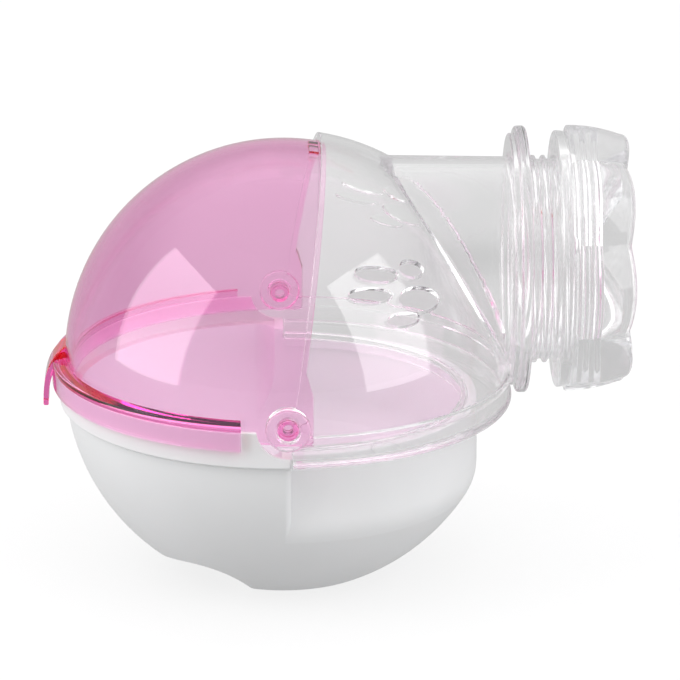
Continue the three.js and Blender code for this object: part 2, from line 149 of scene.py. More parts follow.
def rounded(corners: Sequence[Corner], steps: int = 4) -> list[Flat]:
    """Rounds the corners of a closed outline.

    Args:
        corners: the outline's corners, each with the radius that rounds it.
        steps: how many chords round one corner.

    Returns:
        The outline's points.
    """
    points: list[Flat] = []
    for i, (u, v, radius) in enumerate(corners):
        before, after = corners[i - 1], corners[(i + 1) % len(corners)]
        here = Vector((u, v))
        back = Vector(before[:2]) - here
        on = Vector(after[:2]) - here
        if radius <= 0:
            points.append((u, v))
            continue
        half = back.angle(on) / 2
        room = min(
            back.length * (SHARED_SIDE if before[2] > 0 else FREE_SIDE),
            on.length * (SHARED_SIDE if after[2] > 0 else FREE_SIDE),
        )
        reach = min(radius / math.tan(half), room)
        used = reach * math.tan(half)
        middle = here + (back.normalized() + on.normalized()).normalized() * used / math.sin(half)
        first = here + back.normalized() * reach - middle
        last = here + on.normalized() * reach - middle
        turn = math.atan2(first.x * last.y - first.y * last.x, first.dot(last))
        start = math.atan2(first.y, first.x)
        for step in range(steps + 1):
            angle = start + turn * step / steps
            points.append((middle.x + used * math.cos(angle), middle.y + used * math.sin(angle)))
    return points


def inside(point: Flat, outline: Sequence[Flat]) -> bool:
    """Tells whether a point lies inside a closed outline.

    Args:
        point: the point.
        outline: the outline's points.

    Returns:
        True if the point is inside.
    """
    odd = False
    u, v = point
    for (u0, v0), (u1, v1) in zip(outline, [*outline[1:], outline[0]]):
        if (v0 > v) != (v1 > v) and u < u0 + (v - v0) * (u1 - u0) / (v1 - v0):
            odd = not odd
    return odd


class Solid:
    """A mesh on the bench, shaped by edit-mode operators and applied modifiers."""

    def __init__(self, obj: bpy.types.Object) -> None:
        """Takes an object whose place is in its mesh."""
        self.obj = obj

    @staticmethod
    def clear_selection() -> None:
        """Deselects every object, so that an operator acts on what comes next alone."""
        bpy.ops.object.select_all(action="DESELECT")

    @classmethod
    def loop(cls, name: str, corners: Sequence[Vector], filled: bool = False) -> "Solid":
        """Draws a circle out to a closed loop of corners.

        Args:
            name: the object's name.
            corners: where the loop runs.
            filled: whether the loop holds a face.

        Returns:
            The loop.
        """
        cls.clear_selection()
        fill = "NGON" if filled else "NOTHING"
        bpy.ops.mesh.primitive_circle_add(vertices=len(corners), fill_type=fill)
        obj = bpy.context.object
        obj.name = name
        for vertex, corner in zip(obj.data.vertices, corners):
            vertex.co = corner
        return cls(obj)

    @classmethod
    def turned(
        cls,
        name: str,
        profile: Sequence[Flat],
        axis: Axis,
        centre: Vector,
        steps: int,
    ) -> "Solid":
        """Spins a closed profile a full turn.

        Args:
            name: the object's name.
            profile: (radius, distance along the axis) points.
            axis: what it turns about.
            centre: the point on the axis that distances start from.
            steps: facets in a full turn.

        Returns:
            The turned solid.
        """
        solid = cls.loop(name, [centre + axis.place(*point) for point in profile])
        with solid.editing():
            bpy.ops.mesh.spin(steps=steps, angle=math.tau, center=centre, axis=axis.value)
            solid.tidy()
        return solid

    @classmethod
    def pushed(
        cls,
        name: str,
        outline: Sequence[Flat],
        centre: Vector,
        low: float,
        high: float,
    ) -> "Solid":
        """Extrudes an outline along Y.

        Args:
            name: the object's name.
            outline: (x, z) points from the centre.
            centre: where the outline is measured from.
            low: where the solid starts along Y, from the centre.
            high: where it ends.

        Returns:
            The extruded solid.
        """
        corners = [centre + Vector((x, low, z)) for x, z in outline]
        solid = cls.loop(name, corners, filled=True)
        with solid.editing():
            bpy.ops.mesh.extrude_region_move(TRANSFORM_OT_translate={"value": (0, high - low, 0)})
            solid.tidy()
        return solid

    @classmethod
    def ball(cls, name: str, radius: float, centre: Vector, steps: int, pole: Axis = Axis.Z) -> "Solid":
        """Adds a sphere whose poles lie on an axis.

        Args:
            name: the object's name.
            radius: its radius.
            centre: its centre.
            steps: facets in a full turn.
            pole: the axis through its poles.

        Returns:
            The sphere.
        """
        turns = {Axis.X: (0, math.pi / 2, 0), Axis.Y: (math.pi / 2, 0, 0), Axis.Z: (0, 0, 0)}
        cls.clear_selection()
        bpy.ops.mesh.primitive_uv_sphere_add(
            segments=steps,
            ring_count=steps // 2,
            radius=radius,
            location=centre,
            rotation=turns[pole],
        )
        return cls(bpy.context.object).settled(name)

    @classmethod
    def bar(cls, name: str, radius: float, start: Vector, length: float, steps: int) -> "Solid":
        """Adds a round bar along X.

        Args:
            name: the object's name.
            radius: its radius.
            start: the middle of its first end.
            length: its length.
            steps: facets in a full turn.

        Returns:
            The bar.
        """
        cls.clear_selection()
        bpy.ops.mesh.primitive_cylinder_add(
            vertices=steps,
            radius=radius,
            depth=length,
            location=start + Vector((length / 2, 0, 0)),
            rotation=(0, math.pi / 2, 0),
        )
        return cls(bpy.context.object).settled(name)

    def settled(self, name: str) -> "Solid":
        """Names the object and puts its place and turn into its mesh.

        Args:
            name: the object's name.

        Returns:
            This solid.
        """
        self.obj.name = name
        bpy.ops.object.transform_apply(location=True, rotation=True, scale=True)
        return self

    @contextmanager
    def editing(self) -> Iterator[bpy.types.Mesh]:
        """Opens edit mode on this mesh alone, with everything in it selected.

        Yields:
            The mesh.
        """
        self.activate()
        bpy.ops.object.mode_set(mode="EDIT")
        bpy.ops.mesh.select_all(action="SELECT")
        try:
            yield self.obj.data
        finally:
            bpy.ops.object.mode_set(mode="OBJECT")

    def activate(self) -> None:
        """Selects this object alone and makes it the active one."""
        self.clear_selection()
        self.obj.select_set(True)
        bpy.context.view_layer.objects.active = self.obj

    def tidy(self) -> None:
        """In edit mode, welds doubles, drops what is loose and turns the faces outwards."""
        bpy.ops.mesh.select_all(action="SELECT")
        bpy.ops.mesh.remove_doubles(threshold=WELD)
        bpy.ops.mesh.delete_loose()
        bpy.ops.mesh.select_all(action="SELECT")
        bpy.ops.mesh.normals_make_consistent(inside=False)

    def pick_edges(self, test: Callable[[Any], bool]) -> int:
        """In edit mode, selects the edges that pass a test.

        Args:
            test: tells whether an edge is wanted.

        Returns:
            How many edges were selected.
        """
        bpy.ops.mesh.select_mode(type="EDGE")
        bpy.ops.mesh.select_all(action="DESELECT")
        work = bmesh.from_edit_mesh(self.obj.data)
        picked = [edge for edge in work.edges if test(edge)]
        for edge in picked:
            edge.select_set(True)
        bmesh.update_edit_mesh(self.obj.data)
        return len(picked)

    def pick_faces(self, test: Callable[[Any], bool]) -> int:
        """In edit mode, selects the faces that pass a test.

        Args:
            test: tells whether a face is wanted.

        Returns:
            How many faces were selected.
        """
        bpy.ops.mesh.select_mode(type="FACE")
        bpy.ops.mesh.select_all(action="DESELECT")
        work = bmesh.from_edit_mesh(self.obj.data)
        picked = [face for face in work.faces if test(face)]
        for face in picked:
            face.select_set(True)
        bmesh.update_edit_mesh(self.obj.data)
        return len(picked)

    def modified(self, kind: str, **settings: Any) -> "Solid":
        """Adds a modifier, sets it and applies it.

        Args:
            kind: the modifier's type.
            settings: its settings, by name.

        Returns:
            This solid.
        """
        self.activate()
        bpy.ops.object.modifier_add(type=kind)
        modifier = self.obj.modifiers[-1]
        for key, value in settings.items():
            setattr(modifier, key, value)
        bpy.ops.object.modifier_apply(modifier=modifier.name)
        return self

    def combined(self, act: Act, *tools: "Solid") -> "Solid":
        """Joins other solids to this one, or cuts it with them.

        Args:
            act: what the tools do to this solid.
            tools: the solids that act on it, which are used up.

        Returns:
            This solid.
        """
        for tool in tools:
            self.modified("BOOLEAN", operation=act.value, solver="MANIFOLD", object=tool.obj)
            LOG.debug("%s %s %s", self.obj.name, act.name, tool.obj.name)
            bpy.data.objects.remove(tool.obj)
            if not self.obj.data.vertices:
                raise RuntimeError(f"{self.obj.name}: {act.name} left nothing")
        return self

    def sliced(self, point: Vector, normal: Vector, snap: float = 0.0) -> "Solid":
        """Cuts away what lies in front of a plane and closes the cut.

        Args:
            point: a point on the plane.
            normal: the plane's normal, towards what is cut away.
            snap: corners nearer to the plane than this are moved onto it, so that no slivers are left.

        Returns:
            This solid.
        """
        normal = normal.normalized()
        for vertex in self.obj.data.vertices:
            off = (vertex.co - point).dot(normal)
            if abs(off) < snap:
                vertex.co -= off * normal
        with self.editing():
            bpy.ops.mesh.bisect(
                plane_co=point,
                plane_no=normal,
                use_fill=True,
                clear_outer=True,
                threshold=WELD,
            )
            self.tidy()
        return self

    def trimmed(self, outline: Sequence[Flat], centre: Vector, radius: float, snap: float) -> "Solid":
        """Keeps what of a spherical skin lies inside an outline that runs along Y.

        Args:
            outline: (x, z) points from the centre.
            centre: the skin's centre.
            radius: the skin's radius.
            snap: corners nearer to the outline than this are moved onto it.

        Returns:
            This solid.
        """
        for a, b in zip(outline, [*outline[1:], outline[0]]):
            start, end = Vector((a[0], 0, a[1])), Vector((b[0], 0, b[1]))
            run = end - start
            normal = run.cross(Vector(Axis.Y.value)).normalized()

            def beside(place: Vector) -> tuple[float, float]:
                """Gives how far along the run a place is, and how far off it."""
                off = Vector((place.x, 0, place.z)) - start
                return off.dot(run) / run.length_squared, off.dot(normal)

            for vertex in self.obj.data.vertices:
                place = vertex.co - centre
                along, off = beside(place)
                if -TRIM_PAST < along < 1 + TRIM_PAST and abs(off) < snap:
                    x, z = place.x - off * normal.x, place.z - off * normal.z
                    depth = math.sqrt(max(radius**2 - x * x - z * z, 0.0))
                    vertex.co = centre + Vector((x, math.copysign(depth, place.y), z))
            margin = TRIM_MARGIN / run.length
            with self.editing():
                near = self.pick_faces(
                    lambda face: any(
                        -margin < beside(v.co - centre)[0] < 1 + margin for v in face.verts
                    )
                    and abs(beside(face.calc_center_median() - centre)[1]) < TRIM_NEAR
                )
                if near:
                    bpy.ops.mesh.bisect(plane_co=centre + start, plane_no=normal, threshold=WELD)

        def outside(face: Any) -> bool:
            """Tells whether a face lies outside the outline."""
            middle = face.calc_center_median() - centre
            return not inside((middle.x, middle.z), outline)

        with self.editing():
            self.pick_faces(outside)
            bpy.ops.mesh.delete(type="FACE")
            self.tidy()
        return self

    def bevelled(self, width: float, test: Callable[[Any], bool], segments: int = 3) -> "Solid":
        """Rounds the edges that pass a test.

        Args:
            width: how far the rounding reaches from an edge.
            test: tells whether an edge is wanted.
            segments: chords across the rounding.

        Returns:
            This solid.
        """
        with self.editing():
            if self.pick_edges(test):
                bpy.ops.mesh.bevel(offset=width, segments=segments, affect="EDGES", clamp_overlap=True)
            self.tidy()
        return self

    def reshaped(self, move: Callable[[Vector], Vector]) -> "Solid":
        """Moves every corner to where a function puts it.

        Args:
            move: gives a corner's new place.

        Returns:
            This solid.
        """
        for vertex in self.obj.data.vertices:
            vertex.co = move(vertex.co.copy())
        with self.editing():
            self.tidy()
        return self

    def smoothed(self, angle: float = math.radians(32)) -> bpy.types.Object:
        """Finishes the mesh: smooth shading with true normals beside its edges.

        Args:
            angle: edges sharper than this stay sharp.

        Returns:
            The finished object.
        """
        with self.editing():
            bpy.ops.mesh.remove_doubles(threshold=2 * WELD)
            bpy.ops.mesh.dissolve_degenerate(threshold=WELD)
        self.activate()
        bpy.ops.object.shade_smooth_by_angle(angle=angle)
        self.modified("WEIGHTED_NORMAL", keep_sharp=True, weight=NORMAL_WEIGHT)
        return self.obj


def sharp(edge: Any, angle: float = math.radians(50)) -> bool:
    """Tells whether an edge between two faces is sharper than an angle."""
    return len(edge.link_faces) == 2 and edge.calc_face_angle(0.0) > angle


class Value:
    """A shader value that adds, scales and mixes as a number does."""

    def __init__(self, recipe: "Recipe", socket: bpy.types.NodeSocket) -> None:
        """Wraps a node's output."""
        self.recipe = recipe
        self.socket = socket

    def maths(self, operation: str, *others: "Value | float") -> "Value":
        """Adds a Math node on this value and others.

        Args:
            operation: the Math node's operation.
            others: its other operands.

        Returns:
            The node's result.
        """
        inputs = dict(enumerate([self, *others]))
        return self.recipe.node("ShaderNodeMath", {"operation": operation}, inputs)

    def __add__(self, other: "Value | float") -> "Value":
        """Sums two values."""
        return self.maths("ADD", other)

    __radd__ = __add__

    def __mul__(self, other: "Value | float") -> "Value":
        """Multiplies two values."""
        return self.maths("MULTIPLY", other)

    __rmul__ = __mul__

    def __pow__(self, power: float) -> "Value":
        """Raises this value to a power."""
        return self.maths("POWER", power)


class Recipe:
    """The nodes of one material, or of the world."""

    def __init__(self, owner: bpy.types.Material | bpy.types.World) -> None:
        """Starts with nothing but the output.

        Args:
            owner: the material or world whose nodes these are.
        """
        owner.use_nodes = True
        kind = "World" if isinstance(owner, bpy.types.World) else "Material"
        self.owner = owner
        self.tree = owner.node_tree
        self.tree.nodes.clear()
        self.output = self.tree.nodes.new(f"ShaderNodeOutput{kind}")

    @classmethod
    def material(cls, name: str) -> "Recipe":
        """Starts a new material."""
        return cls(bpy.data.materials.new(name))

    def node(
        self,
        kind: str,
        settings: Settings | None = None,
        inputs: Inputs | None = None,
        output: str | int = 0,
    ) -> Value:
        """Adds a node, sets it and feeds it.

        Args:
            kind: the node's type.
            settings: its settings, by name, set before its sockets.
            inputs: values or links of its sockets, by name or number.
            output: which output is wanted.

        Returns:
            That output.
        """
        made = self.tree.nodes.new(kind)
        for key, value in (settings or {}).items():
            setattr(made, key, value)
        for key, value in (inputs or {}).items():
            if isinstance(value, Value):
                self.tree.links.new(value.socket, made.inputs[key])
            else:
                made.inputs[key].default_value = value
        return Value(self, made.outputs[output])

    def place(self) -> Value:
        """Gives the surface point in the pod's own frame."""
        return self.node("ShaderNodeTexCoord", output="Object")

    def noise(self, scale: float, detail: float = 2.0, stretch: Vector | None = None) -> Value:
        """Gives noise between 0 and 1.

        Args:
            scale: how many features there are in a metre.
            detail: octaves of finer noise.
            stretch: how much finer it is along X, Y and Z.

        Returns:
            The noise.
        """
        where = self.place()
        if stretch is not None:
            where = self.node("ShaderNodeMapping", {}, {"Vector": where, "Scale": stretch})
        return self.node("ShaderNodeTexNoise", {}, {"Vector": where, "Scale": scale, "Detail": detail})

    def mixed(self, share: Value, first: Sequence[float], second: Sequence[float]) -> Value:
        """Mixes two colours.

        Args:
            share: how much of the second colour shows.
            first: colour where the share is 0.
            second: colour where it is 1.

        Returns:
            The colour.
        """
        settings = {"data_type": "RGBA"}
        inputs = {"Factor": share, 6: (*first, 1.0), 7: (*second, 1.0)}
        return self.node("ShaderNodeMix", settings, inputs, output=2)

    def bump(self, height: Value, strength: float, depth: float) -> Value:
        """Turns a height into a normal.

        Args:
            height: the height, between 0 and 1.
            strength: how much of the bump shows.
            depth: the height's range, in metres.

        Returns:
            The normal.
        """
        inputs = {"Height": height, "Strength": strength, "Distance": depth}
        return self.node("ShaderNodeBump", {}, inputs)

    def principled(self, inputs: Inputs) -> Value:
        """Adds a Principled shader with these inputs."""
        return self.node("ShaderNodeBsdfPrincipled", {}, inputs)

    def ends_in(self, shader: Value, socket: str = "Surface") -> None:
        """Feeds a shader to the output."""
        self.tree.links.new(shader.socket, self.output.inputs[socket])


@dataclass(frozen=True)
class WhitePlastic:
    """Opaque white moulding, faintly mottled, with a soft gloss and fine handling marks."""

    slot: str = "white_plastic"
    light: Triple = (0.76, 0.765, 0.775)
    shade: Triple = (0.72, 0.725, 0.73)
    gloss: float = 0.3
    gloss_range: float = 0.14
    refraction: float = 1.49
    scatter: float = 0.15
    scatter_radius: Triple = (1.0, 0.95, 0.9)
    scatter_depth: float = 2.5 * MM
    mottle_scale: float = 45.0
    mark_scale: float = 260.0
    mark_stretch: Triple = (1.0, 1.0, 5.0)
    grain_scale: float = 2400.0
    grain_share: float = 0.4
    bump_strength: float = 0.12
    bump_depth: float = 0.15 * MM

    def material(self) -> bpy.types.Material:
        """Makes the finish's material.

        Returns:
            The material.
        """
        recipe = Recipe.material(self.slot)
        mottle = recipe.noise(self.mottle_scale, 4.0)
        marks = recipe.noise(self.mark_scale, 3.0, Vector(self.mark_stretch))
        grain = recipe.noise(self.grain_scale)
        height = grain * self.grain_share + mottle * (1 - self.grain_share)
        recipe.ends_in(recipe.principled({
            "Base Color": recipe.mixed(mottle, self.shade, self.light),
            "Roughness": marks * self.gloss_range + self.gloss,
            "IOR": self.refraction,
            "Subsurface Weight": self.scatter,
            "Subsurface Radius": self.scatter_radius,
            "Subsurface Scale": self.scatter_depth,
            "Normal": recipe.bump(height, self.bump_strength, self.bump_depth),
        }))
        return recipe.owner


@dataclass(frozen=True)
class ClearPlastic:
    """See-through moulding with a dye in it, faint flow waves and a few handling marks."""

    slot: str
    tint: Triple  # left of white light at the surfaces of one wall
    dye: Triple
    dye_density: float
    wave_scale: float = 70.0
    wave_strength: float = 0.35
    wave_depth: float = 0.05 * MM
    mark_scale: float = 420.0
    mark_stretch: Triple = (1.0, 4.0, 1.0)
    mark_power: float = 3.0  # the higher, the fewer marks
    gloss: float = 0.02
    gloss_range: float = 0.05
    refraction: float = 1.57

    def material(self) -> bpy.types.Material:
        """Makes the finish's material.

        Returns:
            The material.
        """
        recipe = Recipe.material(self.slot)
        waves = recipe.noise(self.wave_scale, 1.0)
        marks = recipe.noise(self.mark_scale, 3.0, Vector(self.mark_stretch))
        recipe.ends_in(recipe.principled({
            "Base Color": (*self.tint, 1.0),
            "Roughness": (marks**self.mark_power) * self.gloss_range + self.gloss,
            "IOR": self.refraction,
            "Transmission Weight": 1.0,
            "Normal": recipe.bump(waves, self.wave_strength, self.wave_depth),
        }))
        dye = {"Color": (*self.dye, 1.0), "Density": self.dye_density}
        recipe.ends_in(recipe.node("ShaderNodeVolumeAbsorption", {}, dye), "Volume")
        return recipe.owner


WHITE = WhitePlastic()
PINK = ClearPlastic("pink_plastic", (0.985, 0.98, 0.985), (0.99, 0.15, 0.71), 215.0)
CLEAR = ClearPlastic("clear_plastic", (0.985, 0.985, 0.987), (0.7, 0.7, 0.72), 6.0)


def joint_place(name: str) -> Vector:
    """Gives a joint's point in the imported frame."""
    return Vector(next(joint["pos_m"] for joint in frame["joints"] if joint["name"] == name))


@dataclass
class Domes:
    """Sizes that several pieces take, measured from the lid's hinge axis, the centre of the domes."""

    hinge: Vector = field(default_factory=lambda: joint_place("lid_flip"))
    tube: Vector = field(default_factory=lambda: joint_place("nut_turn"))
    lid_radius: float = 58 * MM
    lid_wall: float = 1.8 * MM
    fit_gap: float = 0.4 * MM
    seat_gap: float = 0.3 * MM
    swing_gap: float = 0.7 * MM
    edge_tilt: float = math.radians(8.3)
    edge_setback: float = 1.2 * MM
    rim_wall: float = 1.1 * MM
    rim_top: float = -1.2 * MM
    pin_radius: float = 2.75 * MM
    ear_thick: float = 2.9 * MM
    nub_height: float = 0.3 * MM
    rear_radius: float = 51.5 * MM
    bowl_wall: float = 2.4 * MM
    seat_depth: float = 10.6 * MM
    thread_minor: float = 26.4 * MM
    thread_depth: float = 1.0 * MM
    thread_pitch: float = 2.7 * MM
    thread_lead: float = 2.1 * MM
    thread_round: float = 0.22 * MM

    def __post_init__(self) -> None:
        """Works out what follows from the frame and from the sizes above."""
        record = frame["record"]
        self.floor = -self.hinge.z
        self.rim_inner = self.lid_radius + self.fit_gap
        self.rim_outer = self.rim_inner + self.rim_wall
        self.cover_inner = self.lid_radius + self.swing_gap
        self.ear_inner = self.lid_radius + self.seat_gap + self.nub_height
        self.ear_face = self.ear_inner + self.ear_thick
        self.rear_core = self.rear_radius - self.bowl_wall
        clamp = next(mount for mount in record["mounts"] if mount["name"] == "clamp_face")
        self.clamp_x = clamp["pos_m"][0]
        self.thread_x = self.clamp_x + self.thread_lead
        self.nut_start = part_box("ring_nut")[0].x
        self.nut_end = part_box("ring_nut")[1].x
        self.tube_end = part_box("rear_cover")[1].x
        self.tube_axis = Vector((0, 0, self.tube.z))

    def edge_x(self, height: float, back: float) -> float:
        """Gives where the edge between lid and cover lies.

        Args:
            height: above the hinge axis.
            back: how far behind the cover's own edge.

        Returns:
            The distance along X from the hinge axis.
        """
        return self.edge_setback + back + height * math.tan(self.edge_tilt)

    def ridges(
        self,
        numbers: Sequence[float],
        root: float,
        crest: float,
        base: float,
        top: float,
    ) -> list[Corner]:
        """Draws the ridges of a thread on a profile of (radius, X) points.

        Args:
            numbers: each ridge's place, in pitches from the tube's first ridge.
            root: radius between ridges.
            crest: radius on top of them.
            base: a ridge's width at its root.
            top: its width at its crest.

        Returns:
            The ridges' corners, softly rounded.
        """
        corners: list[Corner] = []
        soft = self.thread_round
        for number in numbers:
            middle = self.thread_x + number * self.thread_pitch
            corners += [
                (root, middle - base / 2, soft),
                (crest, middle - top / 2, soft),
                (crest, middle + top / 2, soft),
                (root, middle + base / 2, soft),
            ]
        return corners


@cache
def material_of(finish: WhitePlastic | ClearPlastic) -> bpy.types.Material:
    """Gives a finish's material, made once for all the pieces that share it."""
    return finish.material()


def dress(obj: bpy.types.Object, finish: WhitePlastic | ClearPlastic, body: str, node: str) -> None:
    """Gives a piece its finish, its body and the node that it stands for.

    Args:
        obj: the finished piece.
        finish: its finish.
        body: the body that carries it.
        node: the node that it replaces.
    """
    obj.data.materials.clear()
    obj.data.materials.append(material_of(finish))
    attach(obj, body)
    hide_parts(node)
    LOG.info("%s: %d faces", obj.name, len(obj.data.polygons))


@dataclass
class SandBowl:
    """White bowl: a round front with a proud rim, an inset rear wall, a flat foot and a finger scoop."""

    domes: Domes
    radius: float = 58.2 * MM
    drop: float = 4.5 * MM
    foot_radius: float = 25 * MM
    foot_round: float = 3 * MM
    band_depth: float = 11.6 * MM
    band_bevel: float = 1 * MM
    rebate_depth: float = 8.6 * MM
    rebate_round: float = 0.3 * MM
    step_round: float = 2 * MM
    inner_round: float = 5 * MM
    wall_round: float = 14 * MM
    wall_lead: float = 3 * MM  # from the round side's end to the upright wall
    edge_round: float = 0.4 * MM
    scoop_radius: float = 16 * MM
    scoop_forward: float = 24 * MM
    scoop_rise: float = 10.7 * MM
    scoop_round: float = 2 * MM
    notch_radius: float = 8.2 * MM
    hair: float = 0.01 * MM  # keeps two faces from lying in one
    steps: int = 96
    arc_steps: int = 36
    round_steps: int = 8
    edge_steps: int = 6

    def sphere_angle(self, height: float, radius: float) -> float:
        """Gives the angle at which the bowl's sphere reaches a height."""
        return math.asin((height + self.drop) / radius)

    def turned(self, name: str, corners: Sequence[Corner]) -> Solid:
        """Turns a rounded profile about the upright axis."""
        return Solid.turned(name, rounded(corners), Axis.Z, self.domes.hinge, self.steps)

    def base(self, floor: float, radius: float, foot: float, top: float) -> list[Corner]:
        """Draws a profile's floor and round side.

        Args:
            floor: height of the floor.
            radius: radius of the round side.
            foot: radius that rounds the floor's edge.
            top: height where the round side ends.

        Returns:
            The corners, from the axis outwards.
        """
        low, high = self.sphere_angle(floor, radius), self.sphere_angle(top, radius)
        side = arc((0, -self.drop), radius, low, high, self.arc_steps)
        return [(0, floor, 0), (*side[0][:2], foot), *side[1:]]

    def blunt(self, radius: float, step: float, soft: float) -> Solid:
        """Makes a round block along X whose rear edge is rounded, to keep a ball's front half with it.

        Args:
            radius: the ball's radius.
            step: where the ball is cut off along X, from the hinge axis.
            soft: radius that rounds its cut edge.

        Returns:
            The block.
        """
        centre = self.domes.hinge - Vector((0, 0, self.drop))
        reach = radius + 3 * self.hair
        middle = (math.sqrt((reach - soft) ** 2 - (step - soft) ** 2), step - soft)
        start = math.atan2(middle[1], middle[0])
        touch = (reach * math.cos(start), reach * math.sin(start))
        far = (touch[0] + FAR * math.sin(start), touch[1] - FAR * math.cos(start))
        curve = [p[:2] for p in arc(middle, soft, start, math.pi / 2, self.round_steps)]
        profile = [(0, far[1]), far, *curve, (0, step)]
        return Solid.turned("blunt", profile, Axis.X, centre, 2 * self.steps)

    def cut_off(self, ring: Solid, step: float, soft: float) -> Solid:
        """Cuts an upright ring off behind a step and rounds its upright edges.

        Args:
            ring: the filled ring.
            step: where it is cut off along X, from the hinge axis.
            soft: radius that rounds its edges.

        Returns:
            The ring's front.
        """
        hinge = self.domes.hinge
        ring.sliced(hinge + Vector((step, 0, 0)), Vector((1, 0, 0)))

        def upright(edge: Any) -> bool:
            """Tells whether an edge is one of the cut's upright ones.

            Args:
                edge: the edge.

            Returns:
                True if it is.
            """
            ends = [v.co - hinge for v in edge.verts]
            on_plane = all(abs(end.x - step) < self.hair for end in ends)
            return on_plane and abs(ends[0].y) > self.foot_radius and abs(ends[0].z - ends[1].z) > self.hair

        return ring.bevelled(soft, upright, segments=self.edge_steps)

    def outside(self) -> Solid:
        """Makes the bowl's outside: the front half with its rim, and the inset rear.

        Returns:
            The outside, filled.
        """
        d = self.domes
        step = d.edge_setback - d.fit_gap
        band = -self.band_depth
        inside_band = band + 2 * self.band_bevel
        front = self.turned("sand_bowl", [
            *self.base(d.floor, self.radius, self.foot_round, inside_band),
            (0, inside_band, 0),
        ])
        front.combined(Act.KEEP, self.blunt(self.radius, step, self.step_round))
        band_radius = self.radius * math.cos(self.sphere_angle(band, self.radius))
        ring = self.turned("band", [
            (0, band, 0),
            (band_radius - self.hair, band, 0),
            (d.rim_outer, band + self.band_bevel, self.edge_round),
            (d.rim_outer, d.rim_top, self.edge_round),
            (0, d.rim_top, 0),
        ])
        front.combined(Act.JOIN, self.cut_off(ring, step, self.step_round / 2))
        shrunk = self.radius - self.hair
        meet = -self.drop - math.sqrt(shrunk**2 - d.rear_radius**2)
        rim = -d.seat_depth - d.seat_gap
        rear = self.turned("rear", [
            *self.base(d.floor, shrunk, self.foot_round, meet - self.wall_lead),
            (d.rear_radius, meet, self.wall_round),
            (d.rear_radius, rim, self.edge_round),
            (0, rim, 0),
        ])
        rear.sliced(d.hinge + Vector((step - 1.5 * self.step_round, 0, 0)), Vector((-1, 0, 0)))
        return front.combined(Act.JOIN, rear)

    def hollow(self) -> Solid:
        """Makes the space inside the bowl, down to its floor.

        Returns:
            The space, as a solid.
        """
        d = self.domes
        step = d.edge_setback - d.fit_gap - d.bowl_wall
        core = self.radius - d.bowl_wall
        floor = d.floor + d.bowl_wall
        rebate = -self.rebate_depth
        front = self.turned("hollow", [
            *self.base(floor, core, 2 * self.foot_round, rebate + MM),
            (0, rebate + MM, 0),
        ])
        front.combined(Act.KEEP, self.blunt(core, step, self.inner_round))
        ring = self.turned("rebate", [
            (0, rebate, 0),
            (d.rim_inner, rebate, self.rebate_round),
            (d.rim_inner, 0, 0),
            (0, 0, 0),
        ])
        front.combined(Act.JOIN, self.cut_off(ring, step, self.inner_round / 2))
        shrunk = core - self.hair
        meet = -self.drop - math.sqrt(shrunk**2 - d.rear_core**2)
        rear = self.turned("rear_hollow", [
            *self.base(floor + self.hair, shrunk, 2 * self.foot_round, meet - self.wall_lead),
            (d.rear_core, meet, self.wall_round),
            (d.rear_core, self.hair, 0),
            (0, self.hair, 0),
        ])
        return front.combined(Act.JOIN, rear).combined(Act.CUT, self.scoop(d.bowl_wall))

    def scoop(self, wall: float) -> Solid:
        """Makes the finger scoop under the front.

        Args:
            wall: how much is left round it.

        Returns:
            The scoop, with the foot's edge rounded where it meets it.
        """
        d = self.domes
        radius = self.scoop_radius + wall
        middle = (-self.scoop_forward, d.floor + self.scoop_rise - self.scoop_radius)
        lip = self.scoop_round
        drop = d.floor + lip - middle[1]
        reach = math.sqrt((radius + lip) ** 2 - drop**2)
        lip_middle = (middle[0] + reach, d.floor + lip)
        tangent = math.atan2(drop, reach)
        outline = [
            (lip_middle[0], d.floor - FAR, 0),
            *arc(lip_middle, lip, -math.pi / 2, tangent - math.pi, self.edge_steps),
            *arc(middle, radius, tangent, math.pi, self.arc_steps)[1:],
            (middle[0] - radius, d.floor - FAR, 0),
        ]
        return Solid.pushed("scoop", [p[:2] for p in outline], d.hinge, -FAR, FAR)

    def notch(self, side: int) -> Solid:
        """Makes the round notch in the rim for one hinge.

        Args:
            side: -1 or 1, the side that it is on.

        Returns:
            The notch, as a solid.
        """
        d = self.domes
        low, high = sorted((side * (d.rear_core - d.bowl_wall), side * FAR))
        profile = [(0, low), (self.notch_radius, low), (self.notch_radius, high), (0, high)]
        return Solid.turned("notch", profile, Axis.Y, d.hinge, self.steps)

    def build(self) -> bpy.types.Object:
        """Models the bowl.

        Returns:
            The finished bowl.
        """
        bowl = self.outside().combined(Act.CUT, self.hollow(), self.scoop(0.0))
        bowl.combined(Act.CUT, self.notch(-1), self.notch(1))
        return bowl.smoothed()


